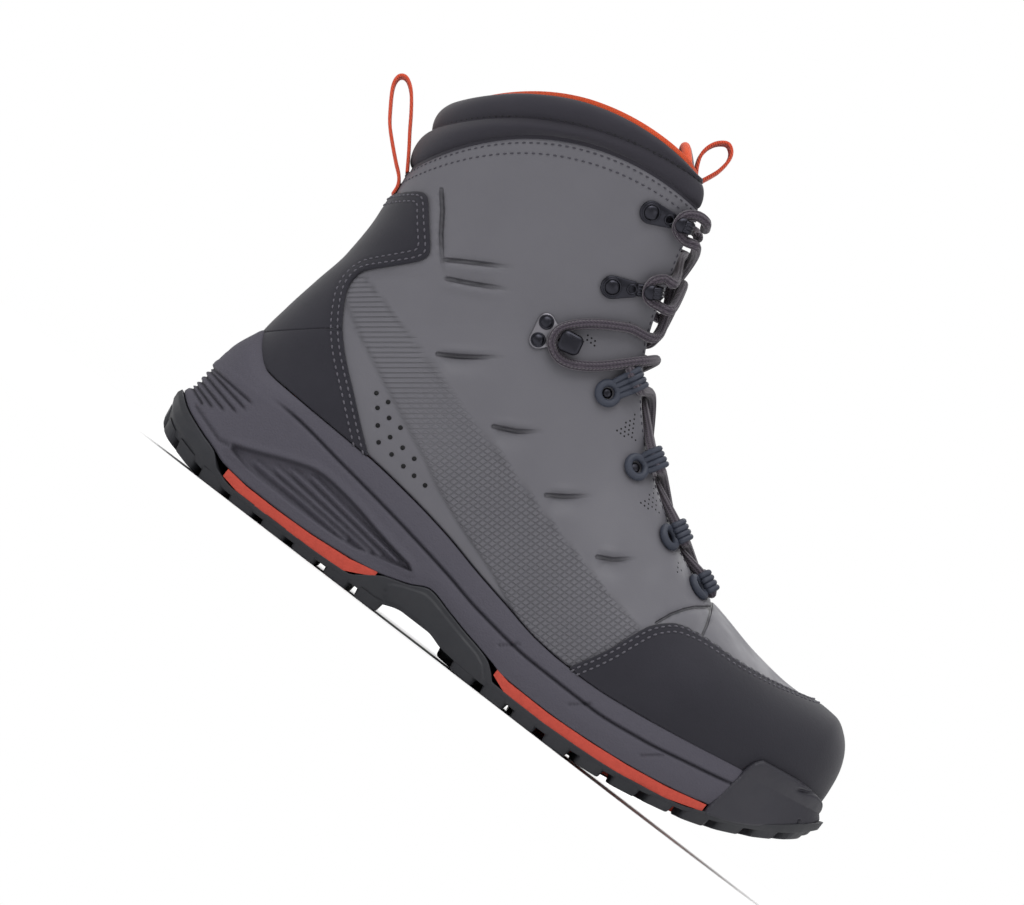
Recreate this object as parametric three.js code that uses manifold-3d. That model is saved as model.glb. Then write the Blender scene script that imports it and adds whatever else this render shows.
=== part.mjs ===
// A wading boot for the right foot, in millimetres: +X toe, -Y lateral side, +Z up.
// The sole is built from rings that follow one plan outline, and the upper from sections
// that stand upright at the toe and fan round the instep to the slanted collar.
import * as THREE from 'three';
import { mergeVertices } from 'three/addons/utils/BufferGeometryUtils.js';
import Module from 'manifold-3d';

const wasm = await Module();
wasm.setup();

// Driving sizes
const LENGTH = 325;
const BALL_WIDTH = 116;
const SOLE_HEIGHT = 50;
const SHAFT_HEIGHT = 225;
const WALL = 2.6;
const GAP = 0.35;
const OVERLAY = 1.3;
const HEEL_ROUND = 38;
const TOE_ROUND = 90;
const HEEL_FULLNESS = 2.2;
const TOE_FULLNESS = 2.4;

// Sole sizes
const FOOTBED_DEPTH = 9;
const FOOTBED_INSET = 7.4;
const FOOTBED_LEAST = 3;
const INSOLE_THICKNESS = 4;
const LUG_DEPTH = 5;
const LUG_SLOT = 4.2;
const LUG_PITCH = 17;
const LUG_REACH = 17;
const RAND_THICKNESS = 3;
const STRIPE_LEAST = 1.2;
const GROOVE_DEPTH = 1.3;
const RECESS_DEPTH = 1.8;

// Tongue, collar, hardware and lace sizes
const TONGUE_THICKNESS = 4.5;
const TONGUE_CLEARANCE = 2;
const TONGUE_WRAP = 11;
const TONGUE_CROWN = 3;
const CUFF_THICKNESS = 7;
const CUFF_SWELL = 3;
const WEBBING = 1.7;
const WEBBING_WIDTH = 16;
const LACE = 4.4;
const LACE_SIDES = 6;
const LOOP_RADIUS = 6;
const LOOP_HOLE = 2.7;
const LOOP_THICKNESS = 2.6;
const HOOK_WIDTH = 8;
const HOOK_METAL = 1.3;

// Mesh fineness
const STATIONS = 24;
const ARC = 7;

const LATERAL = -1;
const MEDIAL = 1;
const SIDES = [LATERAL, MEDIAL];

// Plan outline. Columns: place along LENGTH, lateral and medial half widths over BALL_WIDTH.
const PLAN = [
  [0, 0.345, 0.345],
  [0.15, 0.353, 0.353],
  [0.3, 0.358, 0.328],
  [0.42, 0.379, 0.298],
  [0.55, 0.457, 0.362],
  [0.66, 0.513, 0.448],
  [0.75, 0.517, 0.487],
  [0.85, 0.474, 0.483],
  [1, 0.397, 0.431],
];

// Side-view edges of the sole. Columns: place along LENGTH, height over SOLE_HEIGHT.
const SOLE_BOTTOM = [
  [0, 0.26], [0.015, 0.14], [0.03, 0.09], [0.049, 0.056], [0.069, 0.024], [0.092, 0],
  [0.65, 0], [0.677, 0.016], [0.708, 0.034], [0.738, 0.058], [0.769, 0.092], [0.8, 0.134],
  [0.831, 0.18], [0.862, 0.24], [0.905, 0.356], [0.938, 0.466], [0.97, 0.598], [1, 0.76],
];
const OUTSOLE_TOP = [
  [0, 0.498], [0.025, 0.39], [0.062, 0.298], [0.086, 0.248], [0.105, 0.144], [0.138, 0.094],
  [0.228, 0.096], [0.315, 0.12], [0.335, 0.2], [0.354, 0.28], [0.385, 0.348], [0.412, 0.424],
  [0.446, 0.374], [0.477, 0.324], [0.508, 0.282], [0.523, 0.25], [0.537, 0.182], [0.545, 0.132],
  [0.615, 0.126], [0.708, 0.154], [0.769, 0.204], [0.831, 0.286], [0.854, 0.348], [0.9, 0.46],
  [1, 0.9],
];
const MIDSOLE_BOTTOM = [
  [0, 0.51], [0.025, 0.402], [0.062, 0.31], [0.086, 0.262], [0.105, 0.22], [0.15, 0.19],
  [0.215, 0.188], [0.25, 0.2], [0.305, 0.234], [0.335, 0.262], [0.354, 0.292], [0.385, 0.36],
  [0.412, 0.436], [0.446, 0.386], [0.477, 0.336], [0.508, 0.294], [0.53, 0.262], [0.55, 0.23],
  [0.615, 0.222], [0.708, 0.256], [0.769, 0.306], [0.831, 0.378], [0.855, 0.42], [0.9, 0.48],
  [1, 0.92],
];
const MIDSOLE_CREASE = [
  [0, 0.88], [0.123, 0.886], [0.231, 0.804], [0.323, 0.72], [0.415, 0.616], [0.477, 0.532],
  [0.569, 0.466], [0.662, 0.46], [0.738, 0.51], [0.8, 0.586], [0.862, 0.67], [1, 0.93],
];
const FEATHER = [
  [0.037, 1.31], [0.047, 1.206], [0.056, 1.14], [0.067, 1.08], [0.079, 1.04], [0.1, 1.024],
  [0.177, 1.006], [0.246, 0.986], [0.323, 0.932], [0.385, 0.866], [0.446, 0.774],
  [0.498, 0.706], [0.557, 0.632], [0.6, 0.613], [0.646, 0.62], [0.708, 0.66], [0.785, 0.732],
  [0.846, 0.798], [0.9, 0.85], [0.975, 0.92],
];

// Sections of the upper, toe to collar. Columns: row, foot point along LENGTH, its height over
// SHAFT_HEIGHT (0 where it lies on the feather edge), top point along LENGTH and over
// SHAFT_HEIGHT, lateral and medial half widths and throat half gap over BALL_WIDTH, place of the
// widest point, and upward bow over SHAFT_HEIGHT.
const SECTIONS = [
  [0, 0.974, 0, 0.974, 0.244, 0.4, 0.42, 0, 0.3, 0],
  [1, 0.97, 0, 0.97, 0.284, 0.4, 0.42, 0, 0.3, 0],
  [2, 0.962, 0, 0.962, 0.316, 0.4, 0.425, 0, 0.28, 0],
  [3, 0.947, 0, 0.947, 0.344, 0.41, 0.43, 0, 0.27, 0],
  [4, 0.926, 0, 0.926, 0.361, 0.42, 0.435, 0, 0.26, 0],
  [5, 0.895, 0, 0.898, 0.363, 0.435, 0.445, 0, 0.25, 0],
  [6, 0.852, 0, 0.855, 0.362, 0.46, 0.46, 0, 0.24, 0],
  [7, 0.794, 0, 0.797, 0.371, 0.482, 0.468, 0, 0.24, 0],
  [8, 0.732, 0, 0.738, 0.39, 0.49, 0.462, 0, 0.24, 0],
  [9, 0.671, 0, 0.683, 0.408, 0.485, 0.435, 0.11, 0.24, 0],
  [10, 0.625, 0, 0.643, 0.429, 0.468, 0.4, 0.14, 0.24, 0],
  [11, 0.578, 0, 0.608, 0.458, 0.445, 0.372, 0.155, 0.25, 0],
  [12, 0.511, 0, 0.557, 0.506, 0.403, 0.342, 0.172, 0.26, 0],
  [13, 0.431, 0, 0.511, 0.56, 0.37, 0.332, 0.188, 0.27, 0],
  [14, 0.345, 0, 0.474, 0.62, 0.353, 0.333, 0.202, 0.28, 0],
  [15, 0.258, 0, 0.457, 0.656, 0.35, 0.34, 0.211, 0.3, 0],
  [16, 0.178, 0, 0.446, 0.684, 0.346, 0.341, 0.217, 0.32, 0],
  [17, 0.111, 0, 0.438, 0.707, 0.342, 0.338, 0.221, 0.34, 0],
  [18, 0.068, 0, 0.434, 0.722, 0.338, 0.334, 0.224, 0.36, 0],
  [19, 0.048, 0, 0.43, 0.738, 0.335, 0.331, 0.226, 0.37, 0],
  [20, 0.042, 0, 0.427, 0.749, 0.334, 0.33, 0.228, 0.38, 0],
  [21, 0.048, 0.351, 0.4215, 0.778, 0.337, 0.333, 0.232, 0.39, 0.009],
  [22, 0.057, 0.422, 0.416, 0.807, 0.346, 0.342, 0.236, 0.4, 0.022],
  [23, 0.067, 0.498, 0.41, 0.838, 0.359, 0.355, 0.24, 0.42, 0.038],
  [24, 0.069, 0.564, 0.403, 0.873, 0.373, 0.37, 0.244, 0.44, 0.053],
  [25, 0.0655, 0.628, 0.397, 0.911, 0.386, 0.384, 0.248, 0.46, 0.069],
  [26, 0.06, 0.691, 0.39, 0.95, 0.398, 0.396, 0.252, 0.48, 0.084],
  [27, 0.0526, 0.773, 0.372, 0.993, 0.408, 0.406, 0.256, 0.5, 0.051],
  [28, 0.054, 0.844, 0.365, 1.002, 0.416, 0.414, 0.26, 0.5, 0.058],
];
const FOOT_X = 1;
const FOOT_Z = 2;
const TOP_X = 3;
const TOP_Z = 4;
const WIDE_LATERAL = 5;
const WIDE_MEDIAL = 6;
const THROAT = 7;
const WIDEST = 8;
const BOW = 9;
const THROAT_ROW = 8.5;
const THROAT_ROUND = 1.6;
const HEEL_SEAM_ROW = 20;
const QUARTER_TOP_ROW = 26;
const LAST_ROW = 28;
const UPPER_HEEL = 0.042 * LENGTH;
const UPPER_TOE = 0.974 * LENGTH;
const FEATHER_INSET = 3.4;
const MOST_EDGE = 0.97;

// Value of a table column at a place, along a smooth curve that never overshoots its rows.
function follow(table, at, column = 1) {
  const last = table.length - 1;
  if (at <= table[0][0]) return table[0][column];
  if (at >= table[last][0]) return table[last][column];
  let k = 0;
  while (table[k + 1][0] < at) k += 1;
  const slope = (i) => (table[i + 1][column] - table[i][column]) / (table[i + 1][0] - table[i][0]);
  const tangent = (i) => {
    if (i === 0) return slope(0);
    if (i === last) return slope(last - 1);
    const product = slope(i - 1) * slope(i);
    return product <= 0 ? 0 : (2 * product) / (slope(i - 1) + slope(i));
  };
  const span = table[k + 1][0] - table[k][0];
  const u = (at - table[k][0]) / span;
  const rise = table[k + 1][column] - table[k][column];
  const start = tangent(k) * span;
  const end = tangent(k + 1) * span;
  return table[k][column] + u * start + u * u * (3 * rise - 2 * start - end)
    + u * u * u * (start + end - 2 * rise);
}

const heightAt = (table, x) => SOLE_HEIGHT * follow(table, x / LENGTH);

// How far the outline has opened at x, from 0 at either tip to 1 along the sides.
function endRound(x, heelTip, toeTip) {
  const back = Math.min(1, Math.max(0, (heelTip + HEEL_ROUND - x) / HEEL_ROUND));
  const front = Math.min(1, Math.max(0, (x - toeTip + TOE_ROUND) / TOE_ROUND));
  const opened = (far, fullness) => Math.pow(1 - Math.pow(far, fullness), 1 / fullness);
  return opened(back, HEEL_FULLNESS) * opened(front, TOE_FULLNESS);
}

function planHalf(x, side, heelTip, toeTip, inset) {
  const body = BALL_WIDTH * follow(PLAN, x / LENGTH, side === LATERAL ? 1 : 2) - inset;
  return body * endRound(x, heelTip, toeTip);
}

function toManifold(geometry) {
  const bare = geometry.clone();
  bare.deleteAttribute('normal');
  bare.deleteAttribute('uv');
  const merged = mergeVertices(bare, 1e-4);
  return new wasm.Manifold(new wasm.Mesh({
    numProp: 3,
    vertProperties: Float32Array.from(merged.attributes.position.array),
    triVerts: Uint32Array.from(merged.index.array),
  }));
}

function toGeometry(solid) {
  const mesh = solid.getMesh();
  const geometry = new THREE.BufferGeometry();
  geometry.setAttribute('position', new THREE.BufferAttribute(mesh.vertProperties, 3));
  geometry.setIndex(new THREE.BufferAttribute(mesh.triVerts, 1));
  geometry.computeVertexNormals();
  return geometry;
}

// Coincident points made one, and triangles that have no area left out.
function weld(points, triangles) {
  const places = new Map();
  const kept = [];
  const index = points.map((point) => {
    const key = point.map((value) => Math.round(value * 2000)).join(',');
    if (!places.has(key)) {
      places.set(key, kept.length);
      kept.push(point);
    }
    return places.get(key);
  });
  const faces = triangles.map((face) => face.map((corner) => index[corner]))
    .filter(([a, b, c]) => a !== b && b !== c && a !== c);
  return { kept, faces, index };
}

function meshGeometry(points, faces) {
  const geometry = new THREE.BufferGeometry();
  geometry.setAttribute('position', new THREE.Float32BufferAttribute(points.flat(), 3));
  geometry.setIndex(faces.flat());
  return geometry;
}

function closedSolid(points, triangles) {
  const { kept, faces } = weld(points, triangles);
  const turned = signedVolume(kept, faces) < 0 ? faces.map(([p, q, r]) => [p, r, q]) : faces;
  return toManifold(meshGeometry(kept, turned));
}

function signedVolume(points, faces) {
  let total = 0;
  for (const [p, q, r] of faces) {
    const [a, b, c] = [points[p], points[q], points[r]];
    total += a[0] * (b[1] * c[2] - b[2] * c[1])
      + a[1] * (b[2] * c[0] - b[0] * c[2])
      + a[2] * (b[0] * c[1] - b[1] * c[0]);
  }
  return total / 6;
}

// A sheet's outer and inner skins, joined by a rim along every free edge.
function sheetSolid(outer, inner, triangles) {
  const { kept, faces, index } = weld(outer, triangles);
  const innerKept = [];
  index.forEach((place, i) => {
    innerKept[place] = innerKept[place] ?? inner[i];
  });
  const count = kept.length;
  const edges = new Map();
  for (const [a, b, c] of faces) {
    for (const [from, to] of [[a, b], [b, c], [c, a]]) edges.set(`${from},${to}`, [from, to]);
  }
  const all = [...faces, ...faces.map(([a, b, c]) => [a + count, c + count, b + count])];
  for (const [from, to] of edges.values()) {
    if (edges.has(`${to},${from}`)) continue;
    all.push([to, from, from + count], [to, from + count, to + count]);
  }
  return closedSolid([...kept, ...innerKept], all);
}

// Triangles of a grid of rows and columns, leaving out the cells that skip names.
function gridFaces(rows, columns, skip = () => false) {
  const faces = [];
  for (let i = 0; i + 1 < rows; i += 1) {
    for (let j = 0; j + 1 < columns; j += 1) {
      if (skip(i, j)) continue;
      const a = i * columns + j;
      faces.push([a, a + 1, a + columns], [a + 1, a + columns + 1, a + columns]);
    }
  }
  return faces;
}

// One ring of the sole: the lateral side heel to toe, then the medial side toe to heel.
function ring({ heel, toe, inset, height, from = heel, to = toe }) {
  const half = (side) => Array.from({ length: STATIONS + 1 }, (_, i) => {
    const x = from + ((to - from) * (1 - Math.cos((Math.PI * i) / STATIONS))) / 2;
    return [x, side * planHalf(x, side, heel, toe, inset), height(x)];
  });
  return [...half(LATERAL), ...half(MEDIAL).reverse()];
}

function stack(rings) {
  const size = rings[0].length;
  const faces = [];
  for (let k = 0; k + 1 < rings.length; k += 1) {
    for (let i = 0; i < size; i += 1) {
      const a = k * size + i;
      const b = k * size + ((i + 1) % size);
      faces.push([a, b, a + size], [b, b + size, a + size]);
    }
  }
  for (const [start, turn] of [[0, true], [(rings.length - 1) * size, false]]) {
    for (let i = 0; i + 1 < size / 2; i += 1) {
      const [a, b] = [start + i, start + i + 1];
      const [c, d] = [start + size - 2 - i, start + size - 1 - i];
      faces.push(...(turn ? [[a, c, b], [a, d, c]] : [[a, b, c], [a, c, d]]));
    }
  }
  return closedSolid(rings.flat(), faces);
}

// A side-view outline run through the whole width of the boot, or through part of it.
function prism(outline, nearY = -BALL_WIDTH, farY = BALL_WIDTH) {
  const shape = new THREE.Shape(outline.map(([x, z]) => new THREE.Vector2(x, z)));
  const geometry = new THREE.ExtrudeGeometry(shape, { depth: farY - nearY, bevelEnabled: false });
  geometry.rotateX(Math.PI / 2);
  geometry.translate(0, farY, 0);
  return toManifold(geometry);
}

// The upper's surface: row runs from toe to collar, turn from 0 at the foot edge or back seam
// to PI at the ridge or throat edge.
const column = (row, which) => follow(SECTIONS, row, which);

function sectionEnds(row) {
  const footX = LENGTH * column(row, FOOT_X);
  const onFeather = row <= HEEL_SEAM_ROW;
  const seat = heightAt(FEATHER, footX) + GAP;
  const footZ = onFeather ? seat : SHAFT_HEIGHT * follow(BACK_SEAM, row);
  return {
    foot: [footX, footZ],
    top: [LENGTH * column(row, TOP_X), SHAFT_HEIGHT * column(row, TOP_Z)],
    edge: (side) => (onFeather ? planHalf(footX, side, UPPER_HEEL, UPPER_TOE, FEATHER_INSET) : 0),
  };
}

const BACK_SEAM = [
  [HEEL_SEAM_ROW, (heightAt(FEATHER, UPPER_HEEL) + GAP) / SHAFT_HEIGHT],
  ...SECTIONS.filter((section) => section[0] > HEEL_SEAM_ROW)
    .map((section) => [section[0], section[FOOT_Z]]),
];

function throatHalf(row) {
  const opened = Math.min(1, Math.max(0, (row - THROAT_ROW) / THROAT_ROUND));
  return BALL_WIDTH * Math.max(column(row, THROAT), 0.11) * Math.sqrt(opened);
}

function surfacePoint(row, turn, side) {
  const { foot, top, edge } = sectionEnds(row);
  const widest = column(row, WIDEST);
  const low = turn <= Math.PI / 2;
  const wide = BALL_WIDTH * column(row, side === LATERAL ? WIDE_LATERAL : WIDE_MEDIAL);
  const rounded = row < HEEL_SEAM_ROW / 2 ? endRound(foot[0], -LENGTH, UPPER_TOE) : 1;
  const belly = Math.max(wide * rounded, edge(side) / MOST_EDGE);
  const begin = belly > 1e-6 ? Math.asin(edge(side) / belly) : Math.asin(MOST_EDGE);
  const bent = begin + turn * (1 - (2 * begin) / Math.PI);
  const share = low
    ? widest * (1 - Math.cos(bent) / Math.cos(begin))
    : widest - (1 - widest) * Math.cos(turn);
  const run = [top[0] - foot[0], top[1] - foot[1]];
  const long = Math.hypot(...run);
  const bow = 4 * share * (1 - share) * SHAFT_HEIGHT * column(row, BOW);
  const end = throatHalf(row);
  const half = low ? belly * Math.sin(bent) : end + (belly - end) * Math.sin(turn);
  return [
    foot[0] + share * run[0] - (bow * run[1]) / long,
    side * half,
    foot[1] + share * run[1] + (bow * run[0]) / long,
  ];
}

const STEP = 0.02;

function sideNormal(row, turn, side) {
  const before = Math.max(0, turn - STEP);
  const after = Math.min(Math.PI, turn + STEP);
  const lower = Math.max(0, row - STEP);
  const upper = Math.min(LAST_ROW, row + STEP);
  const vector = (a, b) => new THREE.Vector3(b[0] - a[0], b[1] - a[1], b[2] - a[2]);
  const across = vector(surfacePoint(row, before, side), surfacePoint(row, after, side));
  const along = vector(surfacePoint(lower, turn, side), surfacePoint(upper, turn, side));
  return across.cross(along).multiplyScalar(-side).normalize();
}

// Where the two sides meet, the normal lies in the side view and is shared by both.
function surfaceNormal(row, turn, side) {
  const normal = sideNormal(row, turn, side);
  if (Math.abs(surfacePoint(row, turn, side)[1]) > 1e-6) return normal;
  normal.add(sideNormal(row, turn, -side));
  normal.y = 0;
  return normal.normalize();
}

function offsetPoint(row, turn, side, distance) {
  const [x, y, z] = surfacePoint(row, turn, side);
  const normal = surfaceNormal(row, turn, side);
  return [x + distance * normal.x, y + distance * normal.y, z + distance * normal.z];
}

// Rows lie closer together at the toe, where the outline turns quickly.
const FINE_TO = 5;
const ROWS = [
  ...Array.from({ length: 2 * FINE_TO }, (_, i) => i / 2),
  ...Array.from({ length: LAST_ROW - FINE_TO + 1 }, (_, i) => FINE_TO + i),
  THROAT_ROW,
].sort((a, b) => a - b);
const rowsTo = (to) => ROWS.filter((row) => row <= to);

function skin(distance, to) {
  const points = [];
  for (const row of rowsTo(to)) {
    for (let j = 0; j <= ARC; j += 1) {
      points.push(offsetPoint(row, (Math.PI * j) / ARC, LATERAL, distance));
    }
    for (let j = ARC; j >= 0; j -= 1) {
      points.push(offsetPoint(row, (Math.PI * j) / ARC, MEDIAL, distance));
    }
  }
  return points;
}

const COLUMNS = 2 * (ARC + 1);

// The whole form as one closed solid, its openings closed flat, grown by a distance.
function closedForm(distance, to = LAST_ROW) {
  const rows = rowsTo(to).length - 1;
  const points = skin(distance, to);
  const faces = gridFaces(rows + 1, COLUMNS);
  for (let i = 0; i < rows; i += 1) {
    const [a, b] = [i * COLUMNS, (i + 1) * COLUMNS];
    const [c, d] = [a + COLUMNS - 1, b + COLUMNS - 1];
    faces.push([a, b, c], [b, d, c]);
  }
  const end = rows * COLUMNS;
  for (let j = 0; j < ARC; j += 1) {
    const [a, b] = [end + j, end + j + 1];
    const [c, d] = [end + COLUMNS - 2 - j, end + COLUMNS - 1 - j];
    faces.push([a, b, c], [a, c, d]);
  }
  return closedSolid(points, faces);
}

function upperSolid() {
  const open = (i, j) => j === ARC && ROWS[i + 1] > THROAT_ROW;
  const faces = gridFaces(rowsTo(QUARTER_TOP_ROW).length, COLUMNS, open);
  return sheetSolid(skin(0, QUARTER_TOP_ROW), skin(-WALL, QUARTER_TOP_ROW), faces);
}

// Row and turn of the surface point that shows at x, z from the side.
function locate(x, z, side) {
  let best = { row: 0, turn: 0, far: Infinity };
  const search = (row0, rowSpan, turn0, turnSpan, count) => {
    for (let i = 0; i <= count; i += 1) {
      for (let j = 0; j <= count; j += 1) {
        const row = Math.min(LAST_ROW, Math.max(0, row0 + (rowSpan * (2 * i - count)) / count));
        const turn = Math.min(Math.PI, Math.max(0, turn0 + (turnSpan * (2 * j - count)) / count));
        const point = surfacePoint(row, turn, side);
        const far = Math.hypot(point[0] - x, point[2] - z);
        if (far < best.far) best = { row, turn, far };
      }
    }
  };
  search(LAST_ROW / 2, LAST_ROW / 2, Math.PI / 2, Math.PI / 2, 48);
  for (const span of [0.4, 0.08, 0.02]) search(best.row, span, best.turn, span / 3, 10);
  return best;
}

const sideOutline = (rows) => rows.map(([x, z]) => [x * LENGTH, z * SHAFT_HEIGHT]);

const boot = new THREE.Group();

function add(name, solid, color, roughness = 0.8, metalness = 0) {
  const material = new THREE.MeshStandardMaterial({ color, roughness, metalness });
  const mesh = new THREE.Mesh(toGeometry(solid), material);
  mesh.name = name;
  boot.add(mesh);
}

const GREY = 0x6a696e;
const BLACK = 0x38373c;
const FOAM = 0x504e58;
const RUBBER = 0x3a3942;
const ORANGE = 0xd0523a;
const CORD = 0x48424a;
const METAL = 0x9a989e;

// Sole. Each ring gives its heel tip, toe tip, side inset and height.
const midsoleToe = LENGTH - RAND_THICKNESS - 4 * GAP;
const CREASE_DEPTH = 1.5;
const CREASE_LEAST = 3;
const MIDSOLE_SIDE = 0.6;
const HEEL_SLOPE = [1.2, 3.6, 4, 5, 5.6];
function midsoleRings(inward, lift = 0) {
  const bottom = (x) => heightAt(MIDSOLE_BOTTOM, x) - lift;
  const top = (x) => heightAt(FEATHER, x) + lift;
  const crease = (x) => Math.min(heightAt(MIDSOLE_CREASE, x), top(x) - CREASE_LEAST);
  const between = (x, share) => bottom(x) + share * (crease(x) - bottom(x));
  const grown = (heel, inset, height) => (
    { heel: heel + inward, toe: midsoleToe - inward, inset: inset + inward, height });
  return [
    grown(HEEL_SLOPE[0], MIDSOLE_SIDE + 0.2, bottom),
    grown(HEEL_SLOPE[1], MIDSOLE_SIDE - 0.4, (x) => between(x, 0.5)),
    grown(HEEL_SLOPE[2], MIDSOLE_SIDE + 0.4, (x) => between(x, 0.93)),
    grown(HEEL_SLOPE[3], MIDSOLE_SIDE + CREASE_DEPTH, crease),
    grown(HEEL_SLOPE[4], MIDSOLE_SIDE + 0.6, (x) => crease(x) + 0.25 * (top(x) - crease(x))),
    grown(UPPER_HEEL - 2, MIDSOLE_SIDE + 1.6, top),
  ];
}

const bedHeight = (x) => Math.max(
  Math.min(heightAt(FEATHER, x), SOLE_HEIGHT * 1.01) - FOOTBED_DEPTH,
  heightAt(MIDSOLE_BOTTOM, x) + FOOTBED_LEAST,
);

// A strip of a side-view curve, run right through the sole.
function strip(rows, thick) {
  const line = rows.map(([x, z]) => [x * LENGTH, z * SOLE_HEIGHT]);
  const upper = line.map(([x, z]) => [x, z + thick / 2]);
  const lower = line.map(([x, z]) => [x, z - thick / 2]).reverse();
  return prism([...upper, ...lower]);
}

const HEEL_GROOVES = [
  [0.79, 0.75], [0.735, 0.66], [0.68, 0.59], [0.63, 0.53],
];
const SWOOSH = [
  [0.092, 0.37], [0.128, 0.45], [0.164, 0.55], [0.2, 0.63], [0.23, 0.644], [0.27, 0.606],
  [0.323, 0.532], [0.385, 0.474], [0.354, 0.416], [0.323, 0.356], [0.292, 0.3], [0.215, 0.29],
  [0.138, 0.3],
];
const SWOOSH_RIBS = [
  [[0.2, 0.574], [0.252, 0.532], [0.36, 0.45]],
  [[0.17, 0.51], [0.24, 0.474], [0.33, 0.41]],
  [[0.14, 0.44], [0.228, 0.412], [0.31, 0.36]],
];

function midsoleSolid() {
  const outside = stack(midsoleRings(0).map(ring));
  const deep = (depth) => stack(midsoleRings(depth).map(ring));
  const cup = { heel: UPPER_HEEL + 4, toe: UPPER_TOE - 4, inset: FOOTBED_INSET };
  const cavity = stack([
    { ...cup, height: bedHeight },
    { ...cup, height: () => SHAFT_HEIGHT / 2 },
  ].map(ring));
  let grooves = strip([[-0.01, 0.8], [0.092, 0.75]], GROOVE_DEPTH);
  for (const [back, front] of HEEL_GROOVES) {
    grooves = grooves.add(strip([[-0.01, back], [0.075, front]], GROOVE_DEPTH));
  }
  let recess = prism(SWOOSH.map(([x, z]) => [x * LENGTH, z * SOLE_HEIGHT]));
  for (const rib of SWOOSH_RIBS) recess = recess.subtract(strip(rib, 1.6));
  return outside
    .subtract(grooves.subtract(deep(GROOVE_DEPTH)))
    .subtract(recess.subtract(deep(RECESS_DEPTH)))
    .subtract(cavity)
    .subtract(closedForm(GAP));
}

function insoleSolid() {
  const outline = { heel: UPPER_HEEL + 5, toe: UPPER_TOE - 5.5, inset: FOOTBED_INSET + 0.6 };
  return stack([
    { ...outline, height: (x) => bedHeight(x) + GAP },
    { ...outline, height: (x) => bedHeight(x) + GAP + INSOLE_THICKNESS },
  ].map(ring));
}

// The block of the outsole before its slots, and the forefoot hollow that its core fills.
const outsoleRings = () => [
  { heel: 1.4, toe: LENGTH - 2.5, inset: 2.2, height: (x) => heightAt(SOLE_BOTTOM, x) },
  {
    heel: -0.6,
    toe: LENGTH - 1,
    inset: 0.2,
    height: (x) => 0.55 * heightAt(SOLE_BOTTOM, x) + 0.45 * heightAt(OUTSOLE_TOP, x),
  },
  { heel: 0.2, toe: LENGTH - 1, inset: 0, height: (x) => heightAt(OUTSOLE_TOP, x) - GAP },
];

const CORE = { from: 0.585 * LENGTH, to: 0.9 * LENGTH, inset: LUG_REACH + 3, plate: 1.6 };

// Lengthwise channels of the tread. Columns: start and end along LENGTH, place over BALL_WIDTH.
const TREAD_CHANNELS = [
  [0.12, 0.34, -0.13],
  [0.12, 0.34, 0.13],
  [0.46, 0.57, -0.16],
  [0.46, 0.57, 0.16],
];

// Edge slots between the lugs: stretch along LENGTH, turn in radians and pitch over LUG_PITCH.
const HEEL_SLOTS = { from: 0.115, to: 0.36, turned: 0.25, pitch: 1.05 };
const FORE_SLOTS = { from: 0.5, to: 0.9, turned: -0.3, pitch: 1 };
const SLOT_SINK = 0.45;
const CORE_LUG = { tip: 3.4, foot: 4, stretch: 1.9, aside: 11, turned: 0.35, count: 4 };

// A slot across the edge of the sole, turned by an angle and as deep as a lug.
function slot(x, side, turned, z, width = LUG_SLOT) {
  const geometry = new THREE.BoxGeometry(width, LUG_REACH * 2, 2 * LUG_DEPTH);
  geometry.rotateZ(side * turned);
  const edge = planHalf(x, side, 0, LENGTH, 0);
  geometry.translate(x, side * (edge + 1), z);
  return toManifold(geometry);
}

function coreBlock(inset, bottom, top) {
  const outline = { heel: CORE.from + inset, toe: CORE.to - inset, inset: CORE.inset + inset };
  return stack([{ ...outline, height: bottom }, { ...outline, height: top }].map(ring));
}

function outsoleSolid() {
  let solid = stack(outsoleRings().map(ring));
  const arch = prism([[0.3935, 0.136], [0.4385, 0.136], [0.4385, -0.2], [0.3935, -0.2]]
    .map(([x, z]) => [x * LENGTH, z * SOLE_HEIGHT]));
  solid = solid.subtract(arch);
  for (const side of SIDES) {
    for (const { from, to, turned, pitch } of [HEEL_SLOTS, FORE_SLOTS]) {
      for (let x = from * LENGTH; x < to * LENGTH; x += LUG_PITCH * pitch) {
        const z = heightAt(SOLE_BOTTOM, x) - SLOT_SINK * LUG_DEPTH;
        solid = solid.subtract(slot(x, side, turned, z));
      }
    }
  }
  for (const [from, to, y] of TREAD_CHANNELS) {
    const channel = new THREE.BoxGeometry((to - from) * LENGTH, LUG_SLOT, LUG_DEPTH);
    channel.translate(((from + to) / 2) * LENGTH, y * BALL_WIDTH, 0);
    solid = solid.subtract(toManifold(channel));
  }
  const below = (x) => heightAt(SOLE_BOTTOM, x) - 2 * LUG_DEPTH;
  const above = (x) => heightAt(SOLE_BOTTOM, x) + LUG_DEPTH * 0.8;
  return solid.subtract(coreBlock(0, below, above));
}

function coreSolid() {
  const top = (x) => heightAt(SOLE_BOTTOM, x) + LUG_DEPTH * 0.8 - GAP;
  const room = coreBlock(3 * GAP, (x) => top(x) - LUG_DEPTH * 0.7, top);
  let solid = coreBlock(3 * GAP, (x) => top(x) - CORE.plate, top);
  for (let k = 0; k < CORE_LUG.count; k += 1) {
    const x = CORE.from + (0.2 + 0.19 * k) * (CORE.to - CORE.from);
    for (const side of SIDES) {
      const lug = new THREE.CylinderGeometry(CORE_LUG.tip, CORE_LUG.foot, LUG_DEPTH * 2, 8);
      lug.rotateX(Math.PI / 2);
      lug.scale(CORE_LUG.stretch, 1, 1);
      lug.rotateZ(side * CORE_LUG.turned);
      lug.translate(x, side * CORE_LUG.aside, heightAt(SOLE_BOTTOM, x) + LUG_DEPTH * 0.4);
      solid = solid.add(toManifold(lug).intersect(room));
    }
  }
  return solid;
}

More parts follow.
